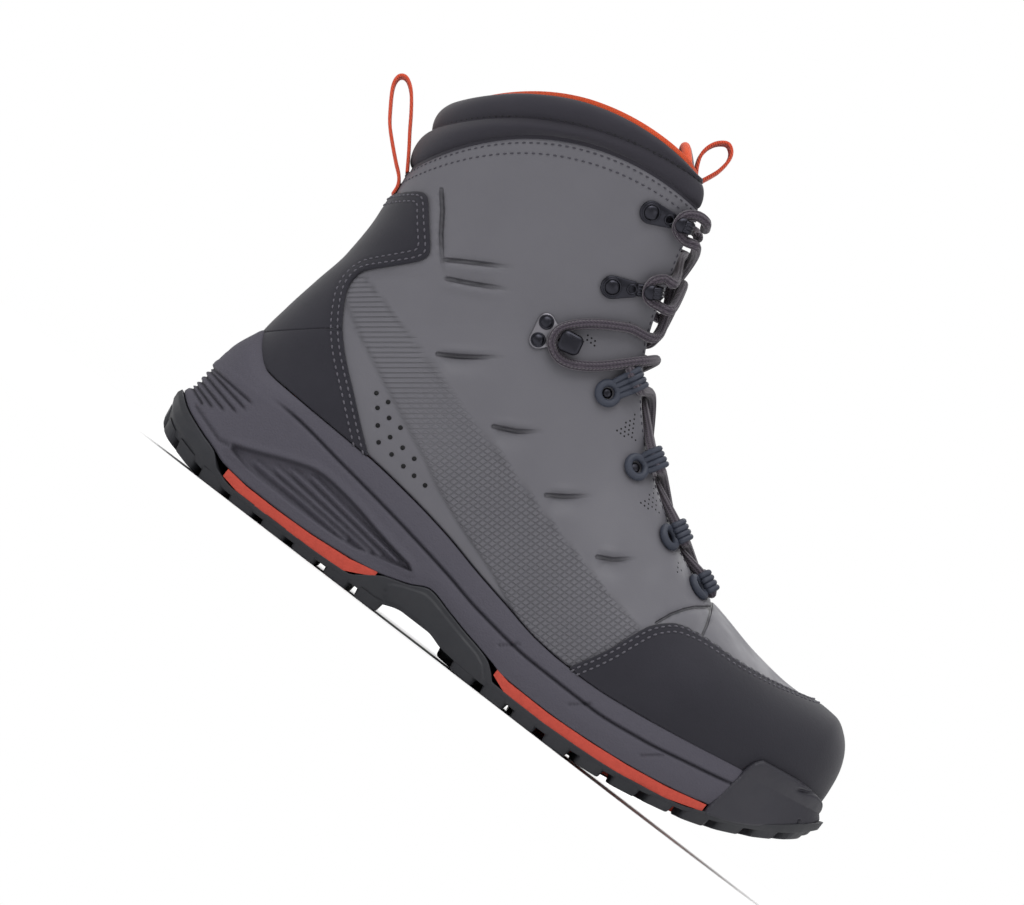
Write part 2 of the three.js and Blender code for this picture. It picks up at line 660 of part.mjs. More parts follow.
// An orange layer between outsole and midsole, over one stretch of the sole.
function stripeSolid(from, to, inset) {
  const outline = { heel: 0.2, toe: LENGTH - 1, inset };
  const bottom = (x) => heightAt(OUTSOLE_TOP, x);
  const top = (x) => Math.max(heightAt(MIDSOLE_BOTTOM, x) - GAP, bottom(x) + STRIPE_LEAST);
  const layer = stack([{ ...outline, height: bottom }, { ...outline, height: top }].map(ring));
  const span = [[from, -1], [to, -1], [to, 2], [from, 2]];
  return layer
    .intersect(prism(span.map(([x, z]) => [x * LENGTH, z * SOLE_HEIGHT])))
    .subtract(midsoleBlock);
}

const midsoleBlock = stack(midsoleRings(-GAP, GAP).map(ring));
const overlaySeat = stack(midsoleRings(-GAP, 3 * GAP).map(ring));

const RAND = sideOutline([
  [0.855, 0.02], [0.858, 0.098], [0.861, 0.137], [0.864, 0.157], [0.869, 0.198], [0.879, 0.22],
  [0.902, 0.24], [0.923, 0.261], [0.938, 0.276], [0.954, 0.287], [0.973, 0.299], [1.02, 0.303],
  [1.02, 0.02],
]);

const BEYOND = 20;

function randSolid() {
  const outside = { heel: -BEYOND, toe: LENGTH + BEYOND, inset: -BEYOND };
  const shell = (toe, inset, height) => ({ heel: 0, toe, inset, height });
  const low = stack([
    shell(LENGTH - 1.4, -0.5, (x) => heightAt(OUTSOLE_TOP, x)),
    shell(LENGTH - 1, -0.6, (x) => Math.max(0.8 * SOLE_HEIGHT, heightAt(OUTSOLE_TOP, x) + 1)),
    shell(LENGTH - 1, -0.4, () => 1.04 * SOLE_HEIGHT),
    shell(LENGTH - 3, 1.5, () => 1.14 * SOLE_HEIGHT),
  ].map(ring));
  return low
    .add(closedForm(OVERLAY + 2 * GAP + RAND_THICKNESS * 0.8))
    .intersect(prism(RAND))
    .subtract(closedForm(OVERLAY + 2 * GAP))
    .subtract(midsoleBlock)
    .subtract(stack([
      { ...outside, height: () => -SOLE_HEIGHT },
      { ...outside, height: (x) => heightAt(OUTSOLE_TOP, x) },
    ].map(ring)));
}

// Overlays of the upper, cut between two grown forms by a side-view outline.
const TOE_CAP = sideOutline([
  [0.61, 0.02], [0.61, 0.139], [0.615, 0.153], [0.623, 0.172], [0.631, 0.194], [0.638, 0.216],
  [0.646, 0.246], [0.656, 0.281], [0.663, 0.294], [0.672, 0.307], [0.682, 0.318],
  [0.698, 0.326], [0.738, 0.332], [0.769, 0.332], [0.8, 0.337], [0.831, 0.344], [0.862, 0.353],
  [0.892, 0.363], [0.908, 0.4], [1.02, 0.4], [1.02, 0.02],
]);
const HEEL_COUNTER = sideOutline([
  [-0.03, 0.05], [-0.03, 0.628], [0.061, 0.628], [0.075, 0.647], [0.086, 0.66], [0.0945, 0.668],
  [0.103, 0.668], [0.11, 0.659], [0.125, 0.632], [0.142, 0.604], [0.1505, 0.588],
  [0.152, 0.578], [0.148, 0.562], [0.134, 0.54], [0.12, 0.519], [0.103, 0.495], [0.096, 0.483],
  [0.093, 0.462], [0.0945, 0.447], [0.1, 0.426], [0.118, 0.383], [0.138, 0.351],
  [0.159, 0.324], [0.179, 0.301], [0.2025, 0.272], [0.228, 0.242], [0.249, 0.219],
  [0.249, 0.05],
]);

function overlaySolid(outline) {
  return closedForm(GAP + OVERLAY, QUARTER_TOP_ROW)
    .subtract(closedForm(GAP, QUARTER_TOP_ROW))
    .intersect(prism(outline))
    .subtract(overlaySeat);
}

// Collar cuff: two padded rolls above the quarter, thinner where they meet the tongue.
const CUFF_ROWS = 8;
const CUFF_SEAT = 0.08;

function cuffSolid() {
  const [outer, inner] = [[], []];
  for (let i = 0; i <= CUFF_ROWS; i += 1) {
    const share = i / CUFF_ROWS;
    const row = QUARTER_TOP_ROW + CUFF_SEAT + share * (LAST_ROW - QUARTER_TOP_ROW - CUFF_SEAT);
    const swell = CUFF_SWELL * Math.abs(Math.sin(2 * Math.PI * share)) - 0.4;
    for (const side of SIDES) {
      for (let k = 0; k <= ARC; k += 1) {
        const j = side === LATERAL ? k : ARC - k;
        const turn = (Math.PI * j) / ARC;
        const thin = Math.min(1, Math.max(0, (0.7 - j / ARC) / 0.25));
        const pad = WALL + thin * (CUFF_THICKNESS - WALL) * Math.sin(Math.PI * (0.15 + 0.7 * share));
        outer.push(offsetPoint(row, turn, side, swell * (0.4 + 0.6 * thin)));
        inner.push(offsetPoint(row, turn, side, -pad));
      }
    }
  }
  const faces = gridFaces(CUFF_ROWS + 1, COLUMNS, (i, j) => j === ARC);
  return sheetSolid(outer, inner, faces);
}

// Tongue: follows the inside of the throat, crowned across the gap, and rises past the collar.
const TONGUE_FROM = 7.8;
const TONGUE_ROWS = 18;
const TONGUE_SIDE = 3;
const TONGUE_RISE = [-0.02 * LENGTH, 0.05 * SHAFT_HEIGHT];

// The tongue's crown over a throat of that half gap, at a share of it from the middle.
const tongueCrown = (half, across) => (
  (TONGUE_CROWN * half * (1 - across * across)) / (0.26 * BALL_WIDTH));

function tonguePoint(row, turn, side, depth) {
  const held = Math.min(row, LAST_ROW - 0.4);
  const [x, y, z] = offsetPoint(held, turn, side, -depth);
  const past = row - held;
  return [x + past * TONGUE_RISE[0], y, z + past * TONGUE_RISE[1]];
}

function tongueRow(row, depth) {
  const held = Math.min(row, LAST_ROW - 0.4);
  const half = throatHalf(held);
  const belly = BALL_WIDTH * column(held, WIDE_LATERAL);
  const wrap = Math.asin(Math.min(0.8, TONGUE_WRAP / (belly - half)));
  const points = [];
  for (let k = 0; k <= TONGUE_SIDE; k += 1) {
    points.push(tonguePoint(row, Math.PI - wrap * (1 - k / TONGUE_SIDE), LATERAL, depth));
  }
  const edge = points[TONGUE_SIDE];
  const normal = surfaceNormal(held, Math.PI, LATERAL);
  for (const across of [-0.45, 0.45]) {
    const crown = tongueCrown(half, across);
    points.push([
      edge[0] + crown * normal.x,
      -across * edge[1],
      edge[2] + crown * normal.z,
    ]);
  }
  for (let k = TONGUE_SIDE; k >= 0; k -= 1) {
    points.push(tonguePoint(row, Math.PI - wrap * (1 - k / TONGUE_SIDE), MEDIAL, depth));
  }
  return points;
}

function tongueSolid() {
  const [outer, inner] = [[], []];
  const columns = 2 * TONGUE_SIDE + 4;
  for (let i = 0; i <= TONGUE_ROWS; i += 1) {
    const row = TONGUE_FROM + ((LAST_ROW + 0.8 - TONGUE_FROM) * i) / TONGUE_ROWS;
    outer.push(...tongueRow(row, WALL + TONGUE_CLEARANCE));
    inner.push(...tongueRow(row, WALL + TONGUE_CLEARANCE + TONGUE_THICKNESS));
  }
  return sheetSolid(outer, inner, gridFaces(TONGUE_ROWS + 1, columns));
}

// Hardware is seated by the point where it shows from the side. Its own Y runs towards the
// throat and its own Z stands off the surface.
function seat(geometry, x, z, side, lift) {
  const { row, turn } = locate(x * LENGTH, z * SHAFT_HEIGHT, side);
  const out = surfaceNormal(row, turn, side);
  const ahead = offsetPoint(row, Math.min(Math.PI, turn + STEP), side, 0);
  const behind = offsetPoint(row, turn - STEP, side, 0);
  const up = new THREE.Vector3(...ahead).sub(new THREE.Vector3(...behind)).normalize();
  const along = new THREE.Vector3().crossVectors(up, out);
  const frame = new THREE.Matrix4().makeBasis(along, up, out);
  frame.setPosition(new THREE.Vector3(...offsetPoint(row, turn, side, lift)));
  return toManifold(geometry.clone().applyMatrix4(frame));
}

// Lower lace loops. Columns: place of the eye along LENGTH and over SHAFT_HEIGHT, body length.
const LOOPS = [
  [0.68, 0.396, 7],
  [0.611, 0.436, 12],
  [0.524, 0.503, 13],
  [0.438, 0.58, 15],
];

function laceLoop(length) {
  const shape = new THREE.Shape();
  shape.absarc(0, 0, LOOP_RADIUS, Math.PI, 2 * Math.PI);
  shape.lineTo(0.85 * LOOP_RADIUS, length);
  shape.lineTo(-0.85 * LOOP_RADIUS, length);
  shape.closePath();
  const eye = new THREE.Path();
  eye.absarc(0, 0, LOOP_HOLE, 0, 2 * Math.PI, true);
  shape.holes.push(eye);
  const depth = LOOP_THICKNESS;
  return new THREE.ExtrudeGeometry(shape, { depth, bevelEnabled: false, curveSegments: 4 });
}

// Speed hooks: a riveted base whose front end turns up and back over the lace.
const SPEED_HOOKS = [
  [0.373, 0.752],
  [0.356, 0.898],
];

const HOOK_RISE = 9;
const HOOK_BACK = 10;
const HOOK_BEND = 2.5;

function speedHook() {
  const [inside, bend] = [HOOK_RISE - HOOK_METAL, HOOK_RISE - HOOK_BEND];
  const outline = [
    [-HOOK_BACK, 0], [bend, 0], [HOOK_RISE, HOOK_BEND], [HOOK_RISE, bend], [bend, HOOK_RISE],
    [HOOK_BEND, HOOK_RISE], [HOOK_BEND, inside], [bend - 0.5, inside], [inside, bend - 0.5],
    [inside, HOOK_BEND + 0.5], [bend - 0.5, HOOK_METAL], [-HOOK_BACK, HOOK_METAL],
  ];
  const shape = new THREE.Shape(outline.map(([y, z]) => new THREE.Vector2(y, z)));
  const geometry = new THREE.ExtrudeGeometry(shape, { depth: HOOK_WIDTH, bevelEnabled: false });
  geometry.translate(0, 0, -HOOK_WIDTH / 2);
  return geometry.applyMatrix4(new THREE.Matrix4().makeBasis(
    new THREE.Vector3(0, 1, 0), new THREE.Vector3(0, 0, 1), new THREE.Vector3(1, 0, 0)));
}

// Ankle hook: a riveted plate with a stem and a round cap.
const ANKLE_HOOK = [0.34, 0.585];
const ANKLE_STEM = 2.2;
const ANKLE_CAP = 5;
const ANKLE_PLATE = [
  [-9, -1], [-8.5, 4], [-3, 8], [5, 4.5], [10, -1], [10, -6.5], [6.5, -9.5], [1, -7],
];

function ankleHook(side) {
  const turned = ANKLE_PLATE.map(([x, y]) => new THREE.Vector2(side * -x, y));
  const plate = new THREE.ExtrudeGeometry(
    new THREE.Shape(turned), { depth: HOOK_METAL, bevelEnabled: false });
  const round = (radius, height, z) => {
    const disc = new THREE.CylinderGeometry(radius, radius, height, 10);
    disc.rotateX(Math.PI / 2);
    disc.translate(side * -1, 4, z);
    return disc;
  };
  const stem = round(ANKLE_STEM, 6, HOOK_METAL / 2 + 3);
  return [plate, stem, round(ANKLE_CAP, 1.6, HOOK_METAL / 2 + 6)];
}

// Pull loops: bands of webbing that follow a side-view line.
function bandSolid(line, thick, wide) {
  const left = [];
  const right = [];
  line.forEach(([x, z], i) => {
    const [x0, z0] = line[Math.max(0, i - 1)];
    const [x1, z1] = line[Math.min(line.length - 1, i + 1)];
    const long = Math.hypot(x1 - x0, z1 - z0);
    const [nx, nz] = [(-(z1 - z0) / long) * (thick / 2), ((x1 - x0) / long) * (thick / 2)];
    left.push([x + nx, z + nz]);
    right.unshift([x - nx, z - nz]);
  });
  return prism([...left, ...right], -wide / 2, wide / 2);
}

// Points of the heel loop from its seat on the back seam, over its length.
const HEEL_LOOP_LENGTH = 42;
const HEEL_LOOP = [
  [0, 0], [-0.01, 0.13], [-0.14, 0.26], [-0.28, 0.39], [-0.42, 0.53], [-0.53, 0.68],
  [-0.61, 0.84], [-0.62, 0.93], [-0.57, 0.985], [-0.5, 0.96], [-0.4, 0.87], [-0.29, 0.73],
  [-0.18, 0.565], [-0.1, 0.42], [-0.055, 0.31],
];
const HEEL_LOOP_ROW = 25.2;

function heelLoopSolid() {
  const [x, , z] = offsetPoint(HEEL_LOOP_ROW, 0, LATERAL, 2 * GAP + WEBBING / 2);
  const line = HEEL_LOOP.map(([a, b]) => [x + a * HEEL_LOOP_LENGTH, z + b * HEEL_LOOP_LENGTH]);
  return bandSolid(line, WEBBING, WEBBING_WIDTH);
}

// Points of the tongue loop from its seat on the tongue's front, over its height.
const TONGUE_LOOP_HEIGHT = 22;
const TONGUE_LOOP = [
  [0, 0], [-0.04, 0.3], [-0.06, 0.5], [0, 0.76], [0.14, 0.95], [0.32, 0.98], [0.47, 0.87],
  [0.5, 0.66], [0.44, 0.42], [0.34, 0.2], [0.2, -0.02],
];
const TONGUE_LOOP_ROW = LAST_ROW - 0.9;

function tongueLoopSolid() {
  const points = tongueRow(TONGUE_LOOP_ROW, WALL + TONGUE_CLEARANCE);
  const [x, , z] = points[TONGUE_SIDE + 1];
  const clear = 1.5 * GAP + WEBBING / 2;
  const line = TONGUE_LOOP.map(([a, b]) => (
    [x + clear + a * TONGUE_LOOP_HEIGHT, z + b * TONGUE_LOOP_HEIGHT]));
  return bandSolid(line, WEBBING, WEBBING_WIDTH);
}

// Lace. Each level is two strands that cross over the tongue and are one solid there.
// Columns: lower row, upper row, slack at the crossing.
const LACE_LEVELS = [
  [9.3, 10.65, 0],
  [11.1, 12.4, 0],
  [12.75, 14.2, 0],
  [14.8, 17.6, 1],
  [19, 22.3, 4],
  [23.4, 25.9, 4],
];
const LACE_STEPS = 6;

function laceTube(points) {
  const path = new THREE.CatmullRomCurve3(points.map((point) => new THREE.Vector3(...point)));
  const shape = new THREE.Shape();
  for (let k = 0; k < LACE_SIDES; k += 1) {
    const angle = (2 * Math.PI * k) / LACE_SIDES;
    const corner = [(LACE / 2) * Math.cos(angle), (LACE / 2) * Math.sin(angle)];
    shape[k === 0 ? 'moveTo' : 'lineTo'](...corner);
  }
  shape.closePath();
  const options = { steps: LACE_STEPS, extrudePath: path, bevelEnabled: false };
  return toManifold(new THREE.ExtrudeGeometry(shape, options));
}

const LACE_CLEARANCE = 0.5;

// A point of the lace over the tongue: across is 0 on its middle line and 1 at its end, which
// lies just inside the quarter's edge.
function throatPoint(row, across, side, slack) {
  const half = throatHalf(row);
  const reach = across * (1 - (0.75 * LACE + GAP) / half);
  const crown = tongueCrown(half, reach);
  const lift = crown + LACE / 2 + LACE_CLEARANCE + slack - WALL - TONGUE_CLEARANCE;
  const [x, y, z] = offsetPoint(row, Math.PI, side, lift);
  const other = offsetPoint(row, Math.PI, -side, lift);
  return [x, reach * y + ((1 - reach) * (y + other[1])) / 2, z];
}

function strand([lower, upper, slack], side) {
  const between = (share) => lower + share * (upper - lower);
  return laceTube([
    throatPoint(lower, 1, side, 0),
    throatPoint(between(0.25), 0.5, side, 0.75 * slack),
    throatPoint(between(0.5), 0, side, slack),
    throatPoint(between(0.75), 0.5, -side, 0.75 * slack),
    throatPoint(upper, 1, -side, 0),
  ]);
}

const crossing = (level) => strand(level, LATERAL).add(strand(level, MEDIAL));

const LACE_BAR_ROW = 8.9;
const laceBar = () => laceTube([-1, 0, 1].map((across) => (
  throatPoint(LACE_BAR_ROW, across, MEDIAL, 0))));

add('upper', upperSolid(), GREY, 0.9);
add('midsole', midsoleSolid(), FOAM, 0.9);
add('insole', insoleSolid(), ORANGE, 0.9);
add('outsole', outsoleSolid(), RUBBER, 0.7);
add('outsole_core', coreSolid(), ORANGE, 0.7);
add('heel_stripe', stripeSolid(0.115, 0.345, 0.7), ORANGE, 0.8);
add('forefoot_stripe', stripeSolid(0.54, 0.853, 0.7), ORANGE, 0.8);
add('toe_rand', randSolid(), RUBBER, 0.7);
add('toe_cap', overlaySolid(TOE_CAP), BLACK, 0.9);
add('heel_counter', overlaySolid(HEEL_COUNTER), BLACK, 0.9);
add('collar_cuff', cuffSolid(), BLACK, 0.9);
add('tongue', tongueSolid(), GREY, 0.9);

add('heel_pull_loop', heelLoopSolid(), ORANGE, 0.9);
add('tongue_pull_loop', tongueLoopSolid(), ORANGE, 0.9);

for (const side of SIDES) {
  const where = side === LATERAL ? 'lateral' : 'medial';
  LOOPS.forEach(([x, z, length], k) => {
    add(`lace_loop_${where}_${k + 1}`, seat(laceLoop(length), x, z, side, 1.5 * GAP), 0x3a4252, 0.8);
  });
  SPEED_HOOKS.forEach(([x, z], k) => {
    add(`speed_hook_${where}_${k + 1}`, seat(speedHook(), x, z, side, GAP), BLACK, 0.3, 1);
  });
  const [plate, stem, cap] = ankleHook(side).map((piece) => seat(piece, ...ANKLE_HOOK, side, GAP));
  add(`ankle_hook_${where}`, plate.add(stem).add(cap), METAL, 0.35, 1);
}
add('lace_bar', laceBar(), CORD, 0.9);
LACE_LEVELS.forEach((level, k) => add(`lace_cross_${k + 1}`, crossing(level), CORD, 0.9));

const bounds = new THREE.Box3().setFromObject(boot);
const middle = bounds.getCenter(new THREE.Vector3());
boot.position.set(-middle.x, -middle.y, -bounds.min.z);

export default boot;
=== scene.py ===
# Looks of a wading boot for the right foot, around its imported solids.
# Shapes are worked out in millimetres in the boot's own frame: x from the back of the heel to
# the toe, y from the lateral to the medial side, z up from the floor.
import math

import bpy
import numpy as np
from mathutils import Matrix, Vector, kdtree


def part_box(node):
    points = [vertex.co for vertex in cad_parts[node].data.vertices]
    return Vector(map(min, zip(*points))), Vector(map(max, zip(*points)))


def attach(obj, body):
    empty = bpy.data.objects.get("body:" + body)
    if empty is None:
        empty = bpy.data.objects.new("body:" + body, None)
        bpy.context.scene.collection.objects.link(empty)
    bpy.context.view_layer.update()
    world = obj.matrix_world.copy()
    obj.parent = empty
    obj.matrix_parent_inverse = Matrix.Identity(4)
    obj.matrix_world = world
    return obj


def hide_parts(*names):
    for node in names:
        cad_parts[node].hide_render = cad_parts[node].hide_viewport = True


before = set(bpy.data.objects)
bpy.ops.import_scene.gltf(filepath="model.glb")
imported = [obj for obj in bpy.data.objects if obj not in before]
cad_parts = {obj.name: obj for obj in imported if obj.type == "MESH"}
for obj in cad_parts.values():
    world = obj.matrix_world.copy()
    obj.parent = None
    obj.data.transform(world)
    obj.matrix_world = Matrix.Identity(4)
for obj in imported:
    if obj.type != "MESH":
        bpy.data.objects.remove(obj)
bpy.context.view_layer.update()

MM = 0.001
PI = math.pi

# Driving sizes
LENGTH = 325
BALL_WIDTH = 116
SOLE_HEIGHT = 50
SHAFT_HEIGHT = 225
WALL = 2.6
GAP = 0.35
OVERLAY = 1.3
HEEL_ROUND = 38
TOE_ROUND = 90
HEEL_FULLNESS = 2.2
TOE_FULLNESS = 2.4
CUFF_THICKNESS = 7
CUFF_SWELL = 3
TONGUE_THICKNESS = 4.5
TONGUE_CLEARANCE = 2
TONGUE_WRAP = 11
TONGUE_CROWN = 3
RAND_THICKNESS = 3
LACE = 4.4
INSOLE_INSET = 5

LATERAL = -1
MEDIAL = 1
SIDES = (LATERAL, MEDIAL)

# Plan outline: place along LENGTH, lateral and medial half widths over BALL_WIDTH.
PLAN = [
    [0, 0.345, 0.345],
    [0.15, 0.353, 0.353],
    [0.3, 0.358, 0.328],
    [0.42, 0.379, 0.298],
    [0.55, 0.457, 0.362],
    [0.66, 0.513, 0.448],
    [0.75, 0.517, 0.487],
    [0.85, 0.474, 0.483],
    [1, 0.397, 0.431],
]

# Side-view edges of the sole: place along LENGTH, height over SOLE_HEIGHT.
MIDSOLE_BOTTOM = [
    [0, 0.51], [0.025, 0.402], [0.062, 0.31], [0.086, 0.262], [0.105, 0.22], [0.15, 0.19],
    [0.215, 0.188], [0.25, 0.2], [0.305, 0.234], [0.335, 0.262], [0.354, 0.292], [0.385, 0.36],
    [0.412, 0.436], [0.446, 0.386], [0.477, 0.336], [0.508, 0.294], [0.53, 0.262], [0.55, 0.23],
    [0.615, 0.222], [0.708, 0.256], [0.769, 0.306], [0.831, 0.378], [0.855, 0.42], [0.9, 0.48],
    [1, 0.92],
]
MIDSOLE_CREASE = [
    [0, 0.88], [0.123, 0.886], [0.231, 0.804], [0.323, 0.72], [0.415, 0.616], [0.477, 0.532],
    [0.569, 0.466], [0.662, 0.46], [0.738, 0.51], [0.8, 0.586], [0.862, 0.67], [1, 0.93],
]
FEATHER = [
    [0.037, 1.31], [0.047, 1.206], [0.056, 1.14], [0.067, 1.08], [0.079, 1.04], [0.1, 1.024],
    [0.177, 1.006], [0.246, 0.986], [0.323, 0.932], [0.385, 0.866], [0.446, 0.774],
    [0.498, 0.706], [0.557, 0.632], [0.6, 0.613], [0.646, 0.62], [0.708, 0.66], [0.785, 0.732],
    [0.846, 0.798], [0.9, 0.85], [0.975, 0.92],
]

# Sections of the upper, toe to collar: row, foot point along LENGTH, its height over
# SHAFT_HEIGHT, top point along LENGTH and over SHAFT_HEIGHT, lateral and medial half widths and
# throat half gap over BALL_WIDTH, place of the widest point, upward bow over SHAFT_HEIGHT.
SECTIONS = [
    [0, 0.974, 0, 0.974, 0.244, 0.4, 0.42, 0, 0.3, 0],
    [1, 0.97, 0, 0.97, 0.284, 0.4, 0.42, 0, 0.3, 0],
    [2, 0.962, 0, 0.962, 0.316, 0.4, 0.425, 0, 0.28, 0],
    [3, 0.947, 0, 0.947, 0.344, 0.41, 0.43, 0, 0.27, 0],
    [4, 0.926, 0, 0.926, 0.361, 0.42, 0.435, 0, 0.26, 0],
    [5, 0.895, 0, 0.898, 0.363, 0.435, 0.445, 0, 0.25, 0],
    [6, 0.852, 0, 0.855, 0.362, 0.46, 0.46, 0, 0.24, 0],
    [7, 0.794, 0, 0.797, 0.371, 0.482, 0.468, 0, 0.24, 0],
    [8, 0.732, 0, 0.738, 0.39, 0.49, 0.462, 0, 0.24, 0],
    [9, 0.671, 0, 0.683, 0.408, 0.485, 0.435, 0.11, 0.24, 0],
    [10, 0.625, 0, 0.643, 0.429, 0.468, 0.4, 0.14, 0.24, 0],
    [11, 0.578, 0, 0.608, 0.458, 0.445, 0.372, 0.155, 0.25, 0],
    [12, 0.511, 0, 0.557, 0.506, 0.403, 0.342, 0.172, 0.26, 0],
    [13, 0.431, 0, 0.511, 0.56, 0.37, 0.332, 0.188, 0.27, 0],
    [14, 0.345, 0, 0.474, 0.62, 0.353, 0.333, 0.202, 0.28, 0],
    [15, 0.258, 0, 0.457, 0.656, 0.35, 0.34, 0.211, 0.3, 0],
    [16, 0.178, 0, 0.446, 0.684, 0.346, 0.341, 0.217, 0.32, 0],
    [17, 0.111, 0, 0.438, 0.707, 0.342, 0.338, 0.221, 0.34, 0],
    [18, 0.068, 0, 0.434, 0.722, 0.338, 0.334, 0.224, 0.36, 0],
    [19, 0.048, 0, 0.43, 0.738, 0.335, 0.331, 0.226, 0.37, 0],
    [20, 0.042, 0, 0.427, 0.749, 0.334, 0.33, 0.228, 0.38, 0],
    [21, 0.048, 0.351, 0.4215, 0.778, 0.337, 0.333, 0.232, 0.39, 0.009],
    [22, 0.057, 0.422, 0.416, 0.807, 0.346, 0.342, 0.236, 0.4, 0.022],
    [23, 0.067, 0.498, 0.41, 0.838, 0.359, 0.355, 0.24, 0.42, 0.038],
    [24, 0.069, 0.564, 0.403, 0.873, 0.373, 0.37, 0.244, 0.44, 0.053],
    [25, 0.0655, 0.628, 0.397, 0.911, 0.386, 0.384, 0.248, 0.46, 0.069],
    [26, 0.06, 0.691, 0.39, 0.95, 0.398, 0.396, 0.252, 0.48, 0.084],
    [27, 0.0526, 0.773, 0.372, 0.993, 0.408, 0.406, 0.256, 0.5, 0.051],
    [28, 0.054, 0.844, 0.365, 1.002, 0.416, 0.414, 0.26, 0.5, 0.058],
]
FOOT_X, FOOT_Z, TOP_X, TOP_Z, WIDE_LATERAL, WIDE_MEDIAL, THROAT, WIDEST, BOW = range(1, 10)
THROAT_ROW = 8.5
THROAT_ROUND = 1.6
HEEL_SEAM_ROW = 20
QUARTER_TOP_ROW = 26
LAST_ROW = 28
UPPER_HEEL = 0.042 * LENGTH
UPPER_TOE = 0.974 * LENGTH
FEATHER_INSET = 3.4
MOST_EDGE = 0.97
STEP = 0.02

# Place of the boot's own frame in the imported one, from nodes with known edges.
loop_low, loop_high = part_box("heel_pull_loop")
SHIFT = np.array([
    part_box("insole")[0][0] / MM - UPPER_HEEL - INSOLE_INSET,
    (loop_low[1] + loop_high[1]) / (2 * MM),
    0,
])


def follow(table, at, column=1):
    """Column of a table at places, along a smooth curve that never overshoots its rows."""
    rows = np.asarray(table, float)
    places, values = rows[:, 0], rows[:, column]
    slopes = np.diff(values) / np.diff(places)
    product = slopes[:-1] * slopes[1:]
    total = slopes[:-1] + slopes[1:]
    middle = np.where(product > 0, 2 * product / np.where(total == 0, 1, total), 0)
    tangents = np.concatenate([slopes[:1], middle, slopes[-1:]])
    at = np.clip(at, places[0], places[-1])
    k = np.clip(np.searchsorted(places, at, side="left") - 1, 0, len(places) - 2)
    span = places[k + 1] - places[k]
    u = (at - places[k]) / span
    rise = values[k + 1] - values[k]
    start, end = tangents[k] * span, tangents[k + 1] * span
    curve = u * start + u**2 * (3 * rise - 2 * start - end) + u**3 * (start + end - 2 * rise)
    return values[k] + curve


def height_at(table, x):
    return SOLE_HEIGHT * follow(table, np.asarray(x) / LENGTH)


def column(row, which):
    return follow(SECTIONS, row, which)


def end_round(x, heel_tip, toe_tip):
    back = np.clip((heel_tip + HEEL_ROUND - x) / HEEL_ROUND, 0, 1)
    front = np.clip((x - toe_tip + TOE_ROUND) / TOE_ROUND, 0, 1)
    heel = (1 - back**HEEL_FULLNESS) ** (1 / HEEL_FULLNESS)
    return heel * (1 - front**TOE_FULLNESS) ** (1 / TOE_FULLNESS)


def plan_half(x, side, heel_tip, toe_tip, inset):
    body = BALL_WIDTH * follow(PLAN, x / LENGTH, 1 if side == LATERAL else 2) - inset
    return body * end_round(x, heel_tip, toe_tip)


BACK_SEAM = [[HEEL_SEAM_ROW, (float(height_at(FEATHER, UPPER_HEEL)) + GAP) / SHAFT_HEIGHT]]
BACK_SEAM += [[row[0], row[FOOT_Z]] for row in SECTIONS if row[0] > HEEL_SEAM_ROW]


def throat_half(row):
    opened = np.clip((row - THROAT_ROW) / THROAT_ROUND, 0, 1)
    return BALL_WIDTH * np.maximum(column(row, THROAT), 0.11) * np.sqrt(opened)


def surface(row, turn, side):
    """Points of the upper: turn is 0 at the foot edge or back seam, PI at the ridge or throat."""
    row, turn = np.broadcast_arrays(np.asarray(row, float), np.asarray(turn, float))
    foot_x = LENGTH * column(row, FOOT_X)
    on_feather = row <= HEEL_SEAM_ROW
    seat = height_at(FEATHER, foot_x) + GAP
    foot_z = np.where(on_feather, seat, SHAFT_HEIGHT * follow(BACK_SEAM, row))
    plan = plan_half(foot_x, side, UPPER_HEEL, UPPER_TOE, FEATHER_INSET)
    edge = np.where(on_feather, plan, 0)
    widest = column(row, WIDEST)
    wide = BALL_WIDTH * column(row, WIDE_LATERAL if side == LATERAL else WIDE_MEDIAL)
    rounded = np.where(row < HEEL_SEAM_ROW / 2, end_round(foot_x, -LENGTH, UPPER_TOE), 1)
    belly = np.maximum(wide * rounded, edge / MOST_EDGE)
    ratio = np.clip(edge / np.maximum(belly, 1e-9), 0, 1)
    begin = np.where(belly > 1e-6, np.arcsin(ratio), math.asin(MOST_EDGE))
    bent = begin + turn * (1 - 2 * begin / PI)
    low = turn <= PI / 2
    share_low = widest * (1 - np.cos(bent) / np.cos(begin))
    share = np.where(low, share_low, widest - (1 - widest) * np.cos(turn))
    run_x = LENGTH * column(row, TOP_X) - foot_x
    run_z = SHAFT_HEIGHT * column(row, TOP_Z) - foot_z
    long = np.hypot(run_x, run_z)
    bow = 4 * share * (1 - share) * SHAFT_HEIGHT * column(row, BOW)
    end = throat_half(row)
    half = np.where(low, belly * np.sin(bent), end + (belly - end) * np.sin(turn))
    x = foot_x + share * run_x - bow * run_z / long
    z = foot_z + share * run_z + bow * run_x / long
    return np.stack([x, side * half, z], axis=-1)


def unit(vectors):
    length = np.linalg.norm(vectors, axis=-1, keepdims=True)
    return vectors / np.maximum(length, 1e-12)


def side_normal(row, turn, side):
    across = surface(row, np.minimum(turn + STEP, PI), side)
    across = across - surface(row, np.maximum(turn - STEP, 0), side)
    along = surface(np.minimum(row + STEP, LAST_ROW), turn, side)
    along = along - surface(np.maximum(row - STEP, 0), turn, side)
    return unit(-side * np.cross(across, along))


def normal(row, turn, side):
    """Outward normals, shared by both sides where they meet on the middle plane."""
    row, turn = np.broadcast_arrays(np.asarray(row, float), np.asarray(turn, float))
    own = side_normal(row, turn, side)
    shared = own + side_normal(row, turn, -side)
    shared[..., 1] = 0
    middle = np.abs(surface(row, turn, side)[..., 1]) < 1e-6
    return np.where(middle[..., None], unit(shared), own)


